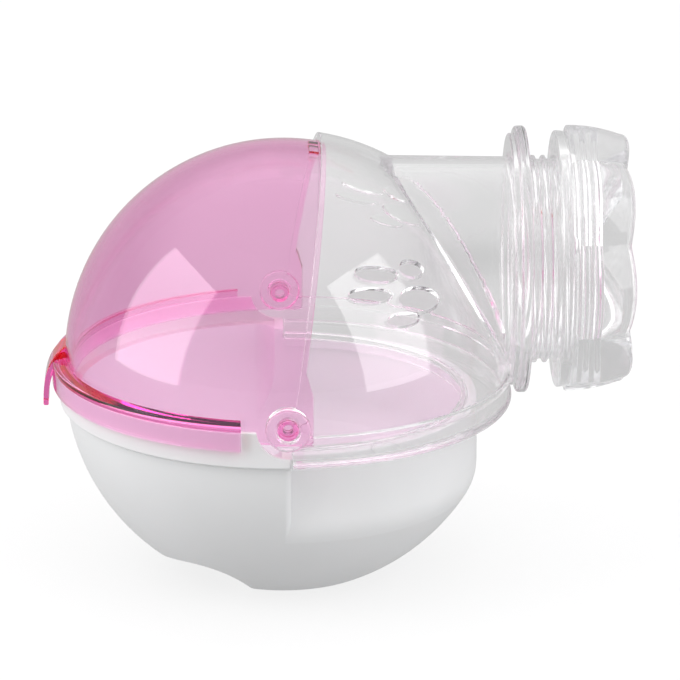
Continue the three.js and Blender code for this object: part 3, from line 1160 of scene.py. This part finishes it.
@dataclass
class FlipLid:
    """Pink quarter dome with a channel rail, a finger tab, a bump on its crown and two stub pins."""

    domes: Domes
    overlap: float = 1.5 * MM
    lip_depth: float = 4.8 * MM
    lobe_reach: float = 6.4 * MM
    lobe_rise: float = 8 * MM
    lobe_slope: float = 6 * MM
    lobe_round: float = 2 * MM
    lip_round: float = 1.2 * MM
    edge_round: float = 0.35 * MM
    edge_snap: float = 0.35 * MM
    rail_wall: float = 1.5 * MM
    rail_rise: float = 1.5 * MM
    rail_fall: float = 0.8 * MM
    rail_depth: float = 6 * MM
    rail_end: float = 12 * MM
    rail_round: float = 1.5 * MM
    rail_soft: float = 0.3 * MM
    rail_shoulder: float = 0.9 * MM
    rail_foot: float = 0.5 * MM
    rail_snap: float = 0.3 * MM
    rail_near: float = 0.1 * MM  # nearer than this to its foot is at its foot
    tab_width: float = 9 * MM
    tab_wall: float = 1.4 * MM
    tab_standoff: float = 2.4 * MM
    tab_depth: float = 11.7 * MM
    tab_root: float = 5.5 * MM
    tab_lift: float = 0.5 * MM
    tab_soft: float = 0.4 * MM
    bump_width: float = 10 * MM
    bump_length: float = 2.6 * MM
    bump_height: float = 0.25 * MM
    bump_soft: float = 0.2 * MM
    pin_core: float = 1.4 * MM
    pin_core_depth: float = 3 * MM
    pin_ring_wall: float = 1.1 * MM
    pin_ring_height: float = 0.6 * MM
    pin_inset: float = 0.2 * MM
    pin_round: float = 0.5 * MM
    pin_soft: float = 0.3 * MM
    nub_radius: float = 1.3 * MM
    nub_behind: float = 4.3 * MM
    nub_round: float = 0.1 * MM
    steps: int = 144
    small_steps: int = 40
    tab_steps: int = 18
    round_steps: int = 6
    corner: float = math.radians(60)  # edges sharper than this are rounded

    def __post_init__(self) -> None:
        """Works out what follows from the sizes above."""
        d = self.domes
        self.core = d.lid_radius - d.lid_wall
        self.middle = d.lid_radius - d.lid_wall / 2
        self.rail_inner = d.rim_outer + d.fit_gap
        self.rail_outer = self.rail_inner + self.rail_wall
        self.ledge_under = d.rim_top + d.fit_gap

    def shell(self) -> Solid:
        """Makes the dome with its lip and hinge lobes.

        Returns:
            The dome, its edges rounded.
        """
        d = self.domes
        top = self.lobe_rise + self.lobe_slope
        outline = rounded([
            (-FAR, -self.lip_depth, 0),
            (self.lobe_reach, -self.lip_depth, self.lip_round),
            (self.lobe_reach, self.lobe_rise, self.lobe_round),
            (d.edge_x(top, self.overlap), top, self.lobe_round),
            (d.edge_x(FAR, self.overlap), FAR, 0),
            (-FAR, FAR, 0),
        ], steps=3)
        skin = Solid.ball("flip_lid", d.lid_radius, d.hinge, self.steps, Axis.X)
        skin.trimmed(outline, d.hinge, d.lid_radius, self.edge_snap)
        inwards = (self.core / d.lid_radius,) * 3
        with skin.editing():
            bpy.ops.mesh.extrude_region_move()
            bpy.ops.transform.resize(value=inwards, center_override=d.hinge)
            skin.tidy()
        return skin.modified(
            "BEVEL",
            width=self.edge_round,
            segments=3,
            limit_method="ANGLE",
            angle_limit=self.corner,
        )

    def rail(self) -> Solid:
        """Makes the channel that drops over the bowl's rim.

        Returns:
            The rail, cut off before the hinges.
        """
        d = self.domes
        outer_top = self.rail_rise - self.rail_fall
        profile = rounded([
            (self.middle, self.rail_rise, 0),
            (d.lid_radius, self.rail_rise, self.rail_soft),
            (self.rail_outer, outer_top, self.rail_shoulder),
            (self.rail_outer, -self.rail_depth, self.rail_foot),
            (self.rail_inner, -self.rail_depth, self.rail_soft),
            (self.rail_inner, self.ledge_under, self.rail_soft),
            (self.middle, self.ledge_under, 0),
        ])
        ring = Solid.turned("rail", profile, Axis.Z, d.hinge, self.steps)
        end = -self.rail_end
        ring.sliced(d.hinge + Vector((end, 0, 0)), Vector((1, 0, 0)), self.rail_snap)

        def lower_corner(edge: Any) -> bool:
            """Tells whether an edge is the end's lower corner."""
            places = [v.co - d.hinge for v in edge.verts]
            return all(abs(p.x - end) < WELD and p.z < -self.rail_depth + self.rail_near for p in places)

        return ring.bevelled(self.rail_round, lower_corner, segments=self.round_steps)

    def tab(self) -> Solid:
        """Makes the finger tab in front.

        Returns:
            The tab, rooted in the dome.
        """
        d = self.domes
        front = -self.rail_outer - self.tab_standoff
        root = -math.sqrt(self.middle**2 - self.tab_root**2)
        back = front + self.tab_wall
        face = bezier([
            (root, self.tab_root),
            (-self.rail_outer, self.rail_rise + self.tab_lift),
            (front, self.rail_rise - self.tab_standoff),
            (front, -self.tab_depth),
        ], self.tab_steps)
        rear = bezier([
            (back, -self.tab_depth),
            (back, self.rail_rise - self.tab_standoff - self.tab_wall),
            (-self.rail_outer + self.tab_wall, self.ledge_under + self.tab_lift),
            (-self.middle, self.ledge_under + self.tab_lift),
        ], self.tab_steps)
        outline = [point[:2] for point in [*face, *rear]]
        half = self.tab_width / 2
        tab = Solid.pushed("tab", outline, d.hinge, -half, half)
        return tab.bevelled(self.tab_soft, lambda edge: sharp(edge, self.corner))

    def bump(self) -> Solid:
        """Makes the low bump on the crown that stops the lid against the cover's edge.

        Returns:
            The bump, rooted in the dome.
        """
        d = self.domes
        top = d.lid_radius + self.bump_height
        end = d.edge_x(d.lid_radius, 0) - d.seat_gap
        start = end - self.bump_length
        low, high = math.acos(end / top), math.acos(start / top)
        outline = [
            *[p[:2] for p in arc((0, 0), top, low, high, self.round_steps)],
            (start, self.middle),
            (end, self.middle - self.bump_height),
        ]
        half = self.bump_width / 2
        bump = Solid.pushed("bump", outline, d.hinge, -half, half)
        return bump.bevelled(self.bump_soft, lambda edge: sharp(edge, self.corner))

    def stub(
        self,
        name: str,
        radius: float,
        low: float,
        high: float,
        soft: float,
        side: int,
        back: float = 0.0,
    ) -> Solid:
        """Makes a round stub along Y with a rounded end.

        Args:
            name: the object's name.
            radius: its radius.
            low: where it starts, from the middle of the pod.
            high: where it ends.
            soft: radius that rounds its outer end.
            side: -1 or 1, the side that it is on.
            back: how far behind the hinge axis it is.

        Returns:
            The stub.
        """
        near, end = side * low, side * high
        corners = [(0, near, 0), (radius, near, 0), (radius, end, soft), (0, end, 0)]
        centre = self.domes.hinge + Vector((back, 0, 0))
        return Solid.turned(name, rounded(corners, steps=5), Axis.Y, centre, self.small_steps)

    def build(self) -> bpy.types.Object:
        """Models the lid.

        Returns:
            The finished lid.
        """
        d = self.domes
        lid = self.shell().combined(Act.JOIN, self.rail(), self.tab(), self.bump())
        ring = self.pin_core + self.pin_ring_wall
        inner = self.core - self.pin_ring_height
        pin_end = d.ear_face - self.pin_inset
        nub_end = d.lid_radius + d.nub_height / 2
        core_end = self.core + self.pin_core_depth
        for side in (-1, 1):
            pin = self.stub("pin", d.pin_radius, self.middle, pin_end, self.pin_round, side)
            boss = self.stub("boss", ring, self.middle, inner, self.pin_soft, side)
            behind = self.nub_behind
            nub = self.stub("nub", self.nub_radius, self.middle, nub_end, self.nub_round, side, behind)
            lid.combined(Act.JOIN, pin, boss, nub)
            core = self.stub("core", self.pin_core, inner - MM, core_end, self.pin_soft, side)
            lid.combined(Act.CUT, core)
        return lid.smoothed()


@dataclass(frozen=True)
class Vent:
    """One oval air hole in the cover's side: its middle, length and width in mm, and tilt in degrees."""

    back: float
    up: float
    length: float
    width: float
    tilt: float

    def outline(self, steps: int) -> list[Flat]:
        """Draws the hole's outline.

        Args:
            steps: how many chords it has.

        Returns:
            Its (x, z) points from the hinge axis.
        """
        points = []
        turn = math.radians(self.tilt)
        for i in range(steps):
            angle = math.tau * i / steps
            u, v = self.length / 2 * math.cos(angle), self.width / 2 * math.sin(angle)
            x = self.back + u * math.cos(turn) - v * math.sin(turn)
            z = self.up + u * math.sin(turn) + v * math.cos(turn)
            points.append((x * MM, z * MM))
        return points


@dataclass
class RearCover:
    """Clear quarter dome with a beaded skirt, hinge ears, oval vents and the threaded entry tube."""

    domes: Domes
    wall: float = 1.5 * MM
    edge_round: float = 0.35 * MM
    seat_thick: float = 1.8 * MM
    spigot_depth: float = 2.5 * MM
    spigot_wall: float = 1.4 * MM
    skirt_out: float = 0.4 * MM
    skirt_top: float = 1.8 * MM
    bead_relief: float = 0.5 * MM
    bead_low: float = 1.7 * MM
    bead_high: float = 2.9 * MM
    bead_round: float = 0.7 * MM
    relief_round: float = 0.2 * MM
    spigot_round: float = 0.4 * MM
    seat_round: float = 0.3 * MM
    inner_round: float = 0.5 * MM
    edge_snap: float = 0.25 * MM
    ear_radius: float = 5.8 * MM
    ear_round: float = 0.9 * MM
    ear_soft: float = 0.3 * MM
    tube_bore: float = 24.8 * MM
    tube_wall: float = 2.3 * MM
    tube_draft: float = 0.8 * MM
    collar_standout: float = 6.2 * MM
    collar_thick: float = 1.6 * MM
    collar_root: float = 1.2 * MM
    collar_round: float = 0.6 * MM
    flange_standoff: float = 0.8 * MM
    flange_radius: float = 35.2 * MM
    flange_root: float = 0.4 * MM
    flange_round: float = 0.8 * MM
    mouth_round: float = 0.4 * MM
    mouth_bevel: float = 0.6 * MM
    bore_start: float = 10 * MM
    thread_crest: float = 0.7 * MM
    thread_ridges: int = 6
    fillet_radius: float = 4 * MM
    fillet_least: float = 0.4 * MM  # at the tube's underside
    fillet_full: float = math.radians(80)  # up to this turn from the tube's top it has its full radius
    fillet_fade: float = math.radians(70)  # and over this turn it falls to the least one
    fillet_steps: int = 8
    fillet_sunk: float = 0.12 * MM
    relief_depth: float = 0.5 * MM
    vents: tuple[Vent, ...] = (
        Vent(33.8, 27.8, 10.8, 5, -20),
        Vent(31.9, 34.7, 6.8, 2.9, -25),
        Vent(22.8, 35.2, 11.4, 2.9, -12),
        Vent(21.2, 30.9, 11.6, 3, -8),
        Vent(29.6, 24.2, 8.4, 3, -8),
    )
    steps: int = 144
    arc_steps: int = 40
    tube_steps: int = 128
    small_steps: int = 48

    def __post_init__(self) -> None:
        """Works out where the flange and the collar before it start."""
        self.flange_x = self.domes.cover_inner + self.wall + self.flange_standoff
        self.collar_x = self.flange_x - self.collar_thick

    def shell(self) -> Solid:
        """Makes the dome with its seat ring, spigot and beaded skirt.

        Returns:
            The dome, cut off along its front edge.
        """
        d = self.domes
        inner, outer = d.cover_inner, d.cover_inner + self.wall
        skirt = outer + self.skirt_out
        relief = skirt - self.bead_relief
        seat = -d.seat_depth
        seat_top = seat + self.seat_thick
        spigot = d.rear_core - d.fit_gap
        hole = spigot - self.spigot_wall
        low_bead = seat + self.bead_low
        high_bead = -self.skirt_top - self.bead_high
        soft = self.bead_round
        profile = rounded([
            (hole, seat - self.spigot_depth, self.spigot_round),
            (spigot, seat - self.spigot_depth, self.spigot_round),
            (spigot, seat, self.seat_round),
            (skirt, seat, soft),
            (skirt, low_bead - self.bead_relief, soft),
            (relief, low_bead, self.relief_round),
            (relief, high_bead, self.relief_round),
            (skirt, high_bead + self.bead_relief, soft),
            (skirt, -self.skirt_top - self.bead_relief, soft),
            *arc((0, 0), outer, -math.asin(self.skirt_top / outer), math.pi / 2, self.arc_steps),
            *arc((0, 0), inner, math.pi / 2, 0, self.arc_steps),
            (inner, seat_top, self.inner_round),
            (hole, seat_top, self.spigot_round),
        ])
        shell = Solid.turned("rear_cover", profile, Axis.Z, d.hinge, self.steps)
        upright = Vector((-1, 0, 0))
        leaning = Vector((-math.cos(d.edge_tilt), 0, math.sin(d.edge_tilt)))
        corner = d.hinge + Vector((d.edge_setback, 0, 0))
        shell.sliced(corner, upright, self.edge_snap)
        shell.sliced(corner, leaning, self.edge_snap)

        def front_edge(edge: Any) -> bool:
            """Tells whether an edge runs round the front face."""
            offs = [v.co - corner for v in edge.verts]
            return sharp(edge) and all(abs(o.dot(upright)) < WELD or abs(o.dot(leaning)) < WELD for o in offs)

        return shell.bevelled(self.edge_round, front_edge)

    def tube(self) -> Solid:
        """Makes the entry tube with its collar, flange and thread.

        Returns:
            The tube, filled, and cut off inside the dome's wall.
        """
        d = self.domes
        outer = self.tube_bore + self.tube_wall
        flange_x, collar_x = self.flange_x, self.collar_x
        collar = outer + self.collar_standout
        base = self.thread_crest + d.thread_depth
        crest = d.thread_minor + d.thread_depth
        relief = crest + d.fit_gap
        ridges = d.ridges(range(self.thread_ridges), d.thread_minor, crest, base, self.thread_crest)
        start = d.lid_radius / 3
        profile = rounded([
            (0, start, 0),
            (outer + self.tube_draft, start, 0),
            (outer, collar_x, self.collar_root),
            (collar, collar_x, self.collar_round),
            (collar, flange_x, self.flange_root),
            (self.flange_radius, flange_x, self.flange_round),
            (self.flange_radius, d.clamp_x, self.flange_round),
            (relief, d.clamp_x, self.relief_round),
            (relief, d.clamp_x - self.relief_depth, 0),
            (d.thread_minor, d.clamp_x - self.relief_depth, 0),
            *ridges,
            (d.thread_minor, d.tube_end, self.mouth_round),
            (0, d.tube_end, 0),
        ])
        tube = Solid.turned("tube", profile, Axis.X, d.tube_axis, self.tube_steps)
        within = Solid.ball("within", d.cover_inner + self.wall / 2, d.hinge, self.steps)
        return tube.combined(Act.CUT, within)

    def fillet(self) -> Solid:
        """Makes the soft ring where the tube leaves the dome: a ball's trace as it rolls along both.

        Returns:
            The ring, whose ends and inner corner lie inside the walls.
        """
        d = self.domes
        count = self.fillet_steps + 2
        large = self.tube_bore + self.tube_wall
        circle = [p[:2] for p in arc((large, 0), MM, 0, math.tau, count)[:-1]]
        ring = Solid.turned("fillet", circle, Axis.X, d.tube_axis, self.tube_steps)

        def rolled(place: Vector) -> Vector:
            """Moves a corner of the plain ring to the fillet's outline at its turn.

            Args:
                place: where the corner is on the plain ring.

            Returns:
                Its place on the fillet.
            """
            off = place - d.tube_axis
            turn = math.atan2(off.y, off.z)
            angle = math.atan2(off.x, math.hypot(off.y, off.z) - large) % math.tau
            step = round(angle / math.tau * count) % count
            return d.hinge + self.fillet_point(turn, step)

        return ring.reshaped(rolled)

    def fillet_point(self, turn: float, step: int) -> Vector:
        """Gives a point on the fillet's outline.

        Args:
            turn: round the tube, from its top.
            step: which point of the outline, the last one being the corner inside the walls.

        Returns:
            The point, from the hinge axis.
        """
        d = self.domes
        dome = d.cover_inner + self.wall
        rise = d.tube_axis.z - d.hinge.z
        fade = (self.fillet_full + self.fillet_fade - abs(turn)) / self.fillet_fade
        least = self.fillet_least
        ball = least + (self.fillet_radius - least) * min(max(fade, 0.0), 1.0)

        def on_sphere(reach: float, radius: float) -> Vector:
            """Gives the point on a sphere about the hinge, at a reach from the tube's axis."""
            y, z = reach * math.sin(turn), rise + reach * math.cos(turn)
            return Vector((math.sqrt(radius**2 - y * y - z * z), y, z))

        tube = self.tube_radius(on_sphere(self.tube_radius(dome), dome).x)
        if step > self.fillet_steps:
            return on_sphere(tube - self.tube_wall / 2, dome - self.wall / 2)
        sunk = self.fillet_sunk
        middle = on_sphere(tube - sunk + ball, dome - sunk + ball)
        start = Vector((0, -math.sin(turn), -math.cos(turn)))
        end = -middle.normalized()
        swing = start.angle(end) * step / self.fillet_steps
        side = (end - start * start.dot(end)).normalized()
        return middle + ball * (start * math.cos(swing) + side * math.sin(swing))

    def tube_radius(self, x: float) -> float:
        """Gives the tube's outer radius between the dome and the collar."""
        start, end = self.domes.lid_radius / 3, self.collar_x
        return self.tube_bore + self.tube_wall + self.tube_draft * (end - x) / (end - start)

    def bore(self) -> Solid:
        """Makes the way through the tube.

        Returns:
            The way, as a solid.
        """
        d = self.domes
        mouth = self.mouth_bevel
        profile = [
            (0, self.bore_start),
            (self.tube_bore, self.bore_start),
            (self.tube_bore, d.tube_end - mouth),
            (self.tube_bore + mouth, d.tube_end + WELD),
            (self.tube_bore + mouth, d.tube_end + MM),
            (0, d.tube_end + MM),
        ]
        return Solid.turned("bore", profile, Axis.X, d.tube_axis, self.tube_steps)

    def ear(self, side: int) -> Solid:
        """Makes one hinge ear.

        Args:
            side: -1 or 1, the side that it is on.

        Returns:
            The ear, not drilled yet.
        """
        d = self.domes
        corners = [
            (0, side * d.ear_inner, 0),
            (self.ear_radius, side * d.ear_inner, self.ear_soft),
            (self.ear_radius, side * d.ear_face, self.ear_round),
            (0, side * d.ear_face, 0),
        ]
        return Solid.turned("ear", rounded(corners, 5), Axis.Y, d.hinge, self.small_steps)

    def pin_hole(self, side: int) -> Solid:
        """Makes the hole in one ear, with a softened mouth.

        Args:
            side: -1 or 1, the side that the ear is on.

        Returns:
            The hole, as a solid.
        """
        d = self.domes
        radius = d.pin_radius + d.fit_gap
        soft = self.ear_soft
        profile = [
            (0, side * (d.ear_inner - MM)),
            (radius, side * (d.ear_inner - MM)),
            (radius, side * (d.ear_face - soft)),
            (radius + soft, side * (d.ear_face + WELD)),
            (radius + soft, side * FAR),
            (0, side * FAR),
        ]
        return Solid.turned("pin_hole", profile, Axis.Y, d.hinge, self.small_steps)

    def build(self) -> bpy.types.Object:
        """Models the cover.

        Returns:
            The finished cover.
        """
        d = self.domes
        cover = self.shell().combined(Act.JOIN, self.tube(), self.fillet(), self.ear(-1), self.ear(1))
        cover.combined(Act.CUT, self.bore(), self.pin_hole(-1), self.pin_hole(1))
        for vent in self.vents:
            outline = vent.outline(self.small_steps)
            near = Solid.pushed("vent", outline, d.hinge, -FAR, -self.tube_bore)
            far = Solid.pushed("vent", outline, d.hinge, self.tube_bore, FAR)
            cover.combined(Act.CUT, near, far)
        return cover.smoothed()


@dataclass
class RingNut:
    """Clear scalloped nut with a plain collar and an inner thread."""

    domes: Domes
    lobes: int = 8
    crest: float = 36 * MM
    lobe_height: float = 3 * MM
    taper: float = 2.6 * MM
    valley_taper: float = 1.6 * MM
    end_round: float = 2 * MM
    end_rim: float = 3 * MM
    lobe_stand: float = 1.3 * MM
    edge_round: float = 0.5 * MM
    collar_length: float = 2.8 * MM
    collar_radius: float = 34 * MM
    collar_round: float = 0.6 * MM
    ridge_crest: float = 0.6 * MM
    ridge_base: float = 1.4 * MM
    ridge_count: int = 3
    lobe_steps: int = 24
    taper_steps: int = 8
    round_steps: int = 5
    edge_steps: int = 3
    bore_steps: int = 128

    def __post_init__(self) -> None:
        """Works out where the grip starts and where its far end begins to round."""
        self.grip_start = self.domes.nut_start + self.collar_length
        self.taper_start = self.grip_start + self.edge_round
        self.round_start = self.domes.nut_end - self.end_round

    def stations(self) -> list[float]:
        """Gives where the rings of corners between the grip's ends are.

        Returns:
            Their places along X.
        """
        edge = [(i / self.edge_steps) ** 2 for i in range(1, self.edge_steps + 1)]
        near = [self.grip_start + self.edge_round * share for share in edge]
        run = self.round_start - self.taper_start
        along = [self.taper_start + run * i / self.taper_steps for i in range(1, self.taper_steps + 1)]
        turns = [math.sin(math.pi / 2 * i / self.round_steps) for i in range(1, self.round_steps)]
        return [*near, *along, *(self.round_start + self.end_round * turn for turn in turns)]

    def swell(self, angle: float) -> float:
        """Gives how far out the grip is at an angle from its top: 0 in a valley, 1 on a lobe's crest."""
        return abs(math.cos(self.lobes * angle / 2))

    def radius_at(self, x: float, angle: float) -> float:
        """Gives the grip's radius.

        Args:
            x: where along the nut.
            angle: round the nut, from its top.

        Returns:
            The radius there.
        """
        swell = self.swell(angle)
        along = (x - self.taper_start) / (self.round_start - self.taper_start)
        loss = (self.valley_taper + (self.taper - self.valley_taper) * swell) * min(max(along, 0.0), 1.0) ** 2
        near = min(max((self.taper_start - x) / self.edge_round, 0.0), 1.0)
        far = min(max((x - self.round_start) / self.end_round, 0.0), 1.0)
        loss += self.edge_round * (1 - math.sqrt(1 - near**2))
        loss += self.end_round * (1 - math.sqrt(1 - far**2))
        return self.crest - self.lobe_height * (1 - swell) - loss

    def grip(self) -> Solid:
        """Makes the scalloped grip, filled: a bar cut into rings and drawn in between its lobes.

        Returns:
            The grip, whose lobes stand out beyond its far end.
        """
        d = self.domes
        start = d.tube_axis + Vector((self.grip_start, 0, 0))
        steps = self.lobes * self.lobe_steps
        grip = Solid.bar("ring_nut", self.crest, start, d.nut_end - self.grip_start, steps)
        with grip.editing():
            for x in self.stations():
                bpy.ops.mesh.select_all(action="SELECT")
                bpy.ops.mesh.bisect(plane_co=(x, 0, 0), plane_no=Axis.X.value, threshold=WELD)
            grip.pick_faces(lambda face: face.normal.x > 0.9)
            bpy.ops.mesh.inset(thickness=self.end_rim)

        def scalloped(place: Vector) -> Vector:
            """Draws a corner in to the grip's own radius, and the valleys back from its far end.

            Args:
                place: where the corner is on the plain bar.

            Returns:
                Its place on the grip.
            """
            off = place - d.tube_axis
            angle = math.atan2(off.y, off.z)
            radius = self.radius_at(place.x, angle)
            along = (place.x - self.grip_start) / (d.nut_end - self.grip_start)
            back = self.lobe_stand * (1 - self.swell(angle)) * along**2
            if math.hypot(off.y, off.z) < self.crest - self.end_rim / 2:
                radius, back = self.crest - self.lobe_height - self.end_rim - self.end_round, self.lobe_stand
            return d.tube_axis + Vector((place.x - back, radius * math.sin(angle), radius * math.cos(angle)))

        return grip.reshaped(scalloped)

    def collar(self) -> Solid:
        """Makes the plain collar that meets the cage wall.

        Returns:
            The collar, filled.
        """
        d = self.domes
        end = self.taper_start + MM
        profile = rounded([
            (0, d.nut_start, 0),
            (self.collar_radius, d.nut_start, self.collar_round),
            (self.collar_radius - self.edge_round, end, 0),
            (0, end, 0),
        ])
        return Solid.turned("collar", profile, Axis.X, d.tube_axis, self.lobes * self.lobe_steps)

    def bore(self) -> Solid:
        """Makes the nut's hole with its thread.

        Returns:
            The hole, as a solid.
        """
        d = self.domes
        root = d.thread_minor + d.thread_depth + d.fit_gap
        crest = d.thread_minor + d.fit_gap
        first = math.ceil((d.nut_start + self.ridge_base - d.thread_x) / d.thread_pitch - 0.5) + 0.5
        numbers = [first + i for i in range(self.ridge_count)]
        profile = rounded([
            (0, d.nut_start - MM, 0),
            (root, d.nut_start - MM, 0),
            *d.ridges(numbers, root, crest, self.ridge_base, self.ridge_crest),
            (root, d.nut_end + MM, 0),
            (0, d.nut_end + MM, 0),
        ])
        return Solid.turned("thread", profile, Axis.X, d.tube_axis, self.bore_steps)

    def build(self) -> bpy.types.Object:
        """Models the nut.

        Returns:
            The finished nut.
        """
        nut = self.grip().combined(Act.JOIN, self.collar()).combined(Act.CUT, self.bore())
        return nut.smoothed()


@dataclass
class Softbox:
    """A tall soft light beside the pod."""

    name: str
    towards: Triple  # right, up and towards the camera
    distance: float
    size: Flat
    power: float


@dataclass
class Studio:
    """Pale floor, soft light all round, two tall softboxes and the camera."""

    domes: Domes
    azimuth: float = math.radians(-1.8)
    elevation: float = math.radians(18)
    focal_px: float = 4500
    picture_px: float = 680
    aim_px: Flat = (283.6, 356.0)  # where the middle of the domes lies in the picture
    distance: float = 1.1956
    sensor: float = 36.0
    floor_size: float = 8.0
    floor_around: Flat = (0.06, 0.49)  # base colour and glow, to all but the camera
    floor_seen: Flat = (0.15, 0.765)  # and to the camera
    floor_roughness: float = 0.9
    sky_rise: Flat = (0.3, 0.9)  # sines of the heights between which the sky grows bright
    sky_low: float = 0.62
    sky_high: float = 1.6
    sky_lean: float = 0.1  # how much brighter it is behind the pod
    bounces: int = 64
    diffuse_bounces: int = 6
    clear_bounces: int = 48
    softboxes: tuple[Softbox, ...] = (
        Softbox("left_softbox", (-0.92, 0.19, 0.33), 1.0, (0.8, 1.2), 7.4),
        Softbox("right_softbox", (0.80, 0.20, 0.57), 1.0, (0.7, 1.2), 5.0),
    )

    def __post_init__(self) -> None:
        """Works out the camera's own directions."""
        az, el = self.azimuth, self.elevation
        self.back = Vector((math.sin(az) * math.cos(el), -math.cos(az) * math.cos(el), math.sin(el)))
        self.right = Vector((math.cos(az), math.sin(az), 0))
        self.up = self.back.cross(self.right)

    def camera(self) -> None:
        """Adds the camera where the photograph was taken from."""
        data = bpy.data.cameras.new("camera")
        data.lens = self.focal_px / self.picture_px * self.sensor
        data.sensor_width = self.sensor
        data.clip_end = 2 * self.floor_size
        camera = bpy.data.objects.new("camera", data)
        bpy.context.scene.collection.objects.link(camera)
        per_px = self.distance / self.focal_px
        across = (self.picture_px / 2 - self.aim_px[0]) * per_px
        above = (self.aim_px[1] - self.picture_px / 2) * per_px
        camera.location = (
            self.domes.hinge + self.back * self.distance + self.right * across + self.up * above
        )
        camera.rotation_euler = self.back.to_track_quat("Z", "Y").to_euler()
        bpy.context.scene.camera = camera

    def floor(self) -> None:
        """Adds the pale floor: white to the camera, and pale grey to all the light that the pod passes on."""
        Solid.clear_selection()
        bpy.ops.mesh.primitive_plane_add(size=self.floor_size)
        floor = bpy.context.object
        floor.name = "floor"
        recipe = Recipe.material("floor")
        shades = [
            recipe.principled({
                "Base Color": (base, base, base, 1.0),
                "Roughness": self.floor_roughness,
                "Emission Color": WHITE_LIGHT,
                "Emission Strength": glow,
            })
            for base, glow in (self.floor_around, self.floor_seen)
        ]
        seen = recipe.node("ShaderNodeLightPath", output="Is Camera Ray")
        recipe.ends_in(recipe.node("ShaderNodeMixShader", {}, {0: seen, 1: shades[0], 2: shades[1]}))
        floor.data.materials.append(recipe.owner)

    def sky(self) -> None:
        """Fills the room with soft light, brighter overhead and behind the pod than behind the camera."""
        world = bpy.data.worlds.new("room")
        bpy.context.scene.world = world
        recipe = Recipe(world)
        where = recipe.node("ShaderNodeTexCoord", output="Generated")
        behind, up = (recipe.node("ShaderNodeSeparateXYZ", {}, {0: where}, output=axis) for axis in "YZ")
        overhead = recipe.node("ShaderNodeMapRange", {"interpolation_type": "SMOOTHSTEP"}, {
            "Value": up,
            "From Min": self.sky_rise[0],
            "From Max": self.sky_rise[1],
            "To Min": self.sky_low,
            "To Max": self.sky_high,
        })
        strength = overhead * (behind * self.sky_lean + 1.0)
        recipe.ends_in(recipe.node("ShaderNodeBackground", {}, {"Color": WHITE_LIGHT, "Strength": strength}))

    def lights(self) -> None:
        """Adds the softboxes, each facing the pod."""
        middle = self.domes.hinge
        for box in self.softboxes:
            data = bpy.data.lights.new(box.name, "AREA")
            data.shape = "RECTANGLE"
            data.size, data.size_y = box.size
            data.energy = box.power
            right, up, near = box.towards
            away = (self.right * right + self.up * up + self.back * near).normalized()
            light = bpy.data.objects.new(box.name, data)
            light.location = middle + away * box.distance
            light.rotation_euler = away.to_track_quat("Z", "Y").to_euler()
            bpy.context.scene.collection.objects.link(light)

    def build(self) -> None:
        """Sets up the studio and how the picture is developed."""
        self.camera()
        self.floor()
        self.sky()
        self.lights()
        scene = bpy.context.scene
        scene.view_settings.view_transform = "Standard"
        scene.cycles.blur_glossy = 0.0  # any blurring keeps light from getting through the plastic
        scene.cycles.max_bounces = self.bounces
        scene.cycles.diffuse_bounces = self.diffuse_bounces
        scene.cycles.glossy_bounces = self.clear_bounces
        scene.cycles.transmission_bounces = self.clear_bounces


def main() -> None:
    """Builds the studio and the four pieces, and dresses them."""
    logging.basicConfig(level=logging.INFO, format="%(name)s: %(message)s")
    domes = Domes()
    Studio(domes).build()
    dress(SandBowl(domes).build(), WHITE, "bowl", "sand_bowl")
    dress(FlipLid(domes).build(), PINK, "lid", "flip_lid")
    dress(RearCover(domes).build(), CLEAR, "cover", "rear_cover")
    dress(RingNut(domes).build(), CLEAR, "nut", "ring_nut")


if __name__ == "__main__":
    main()
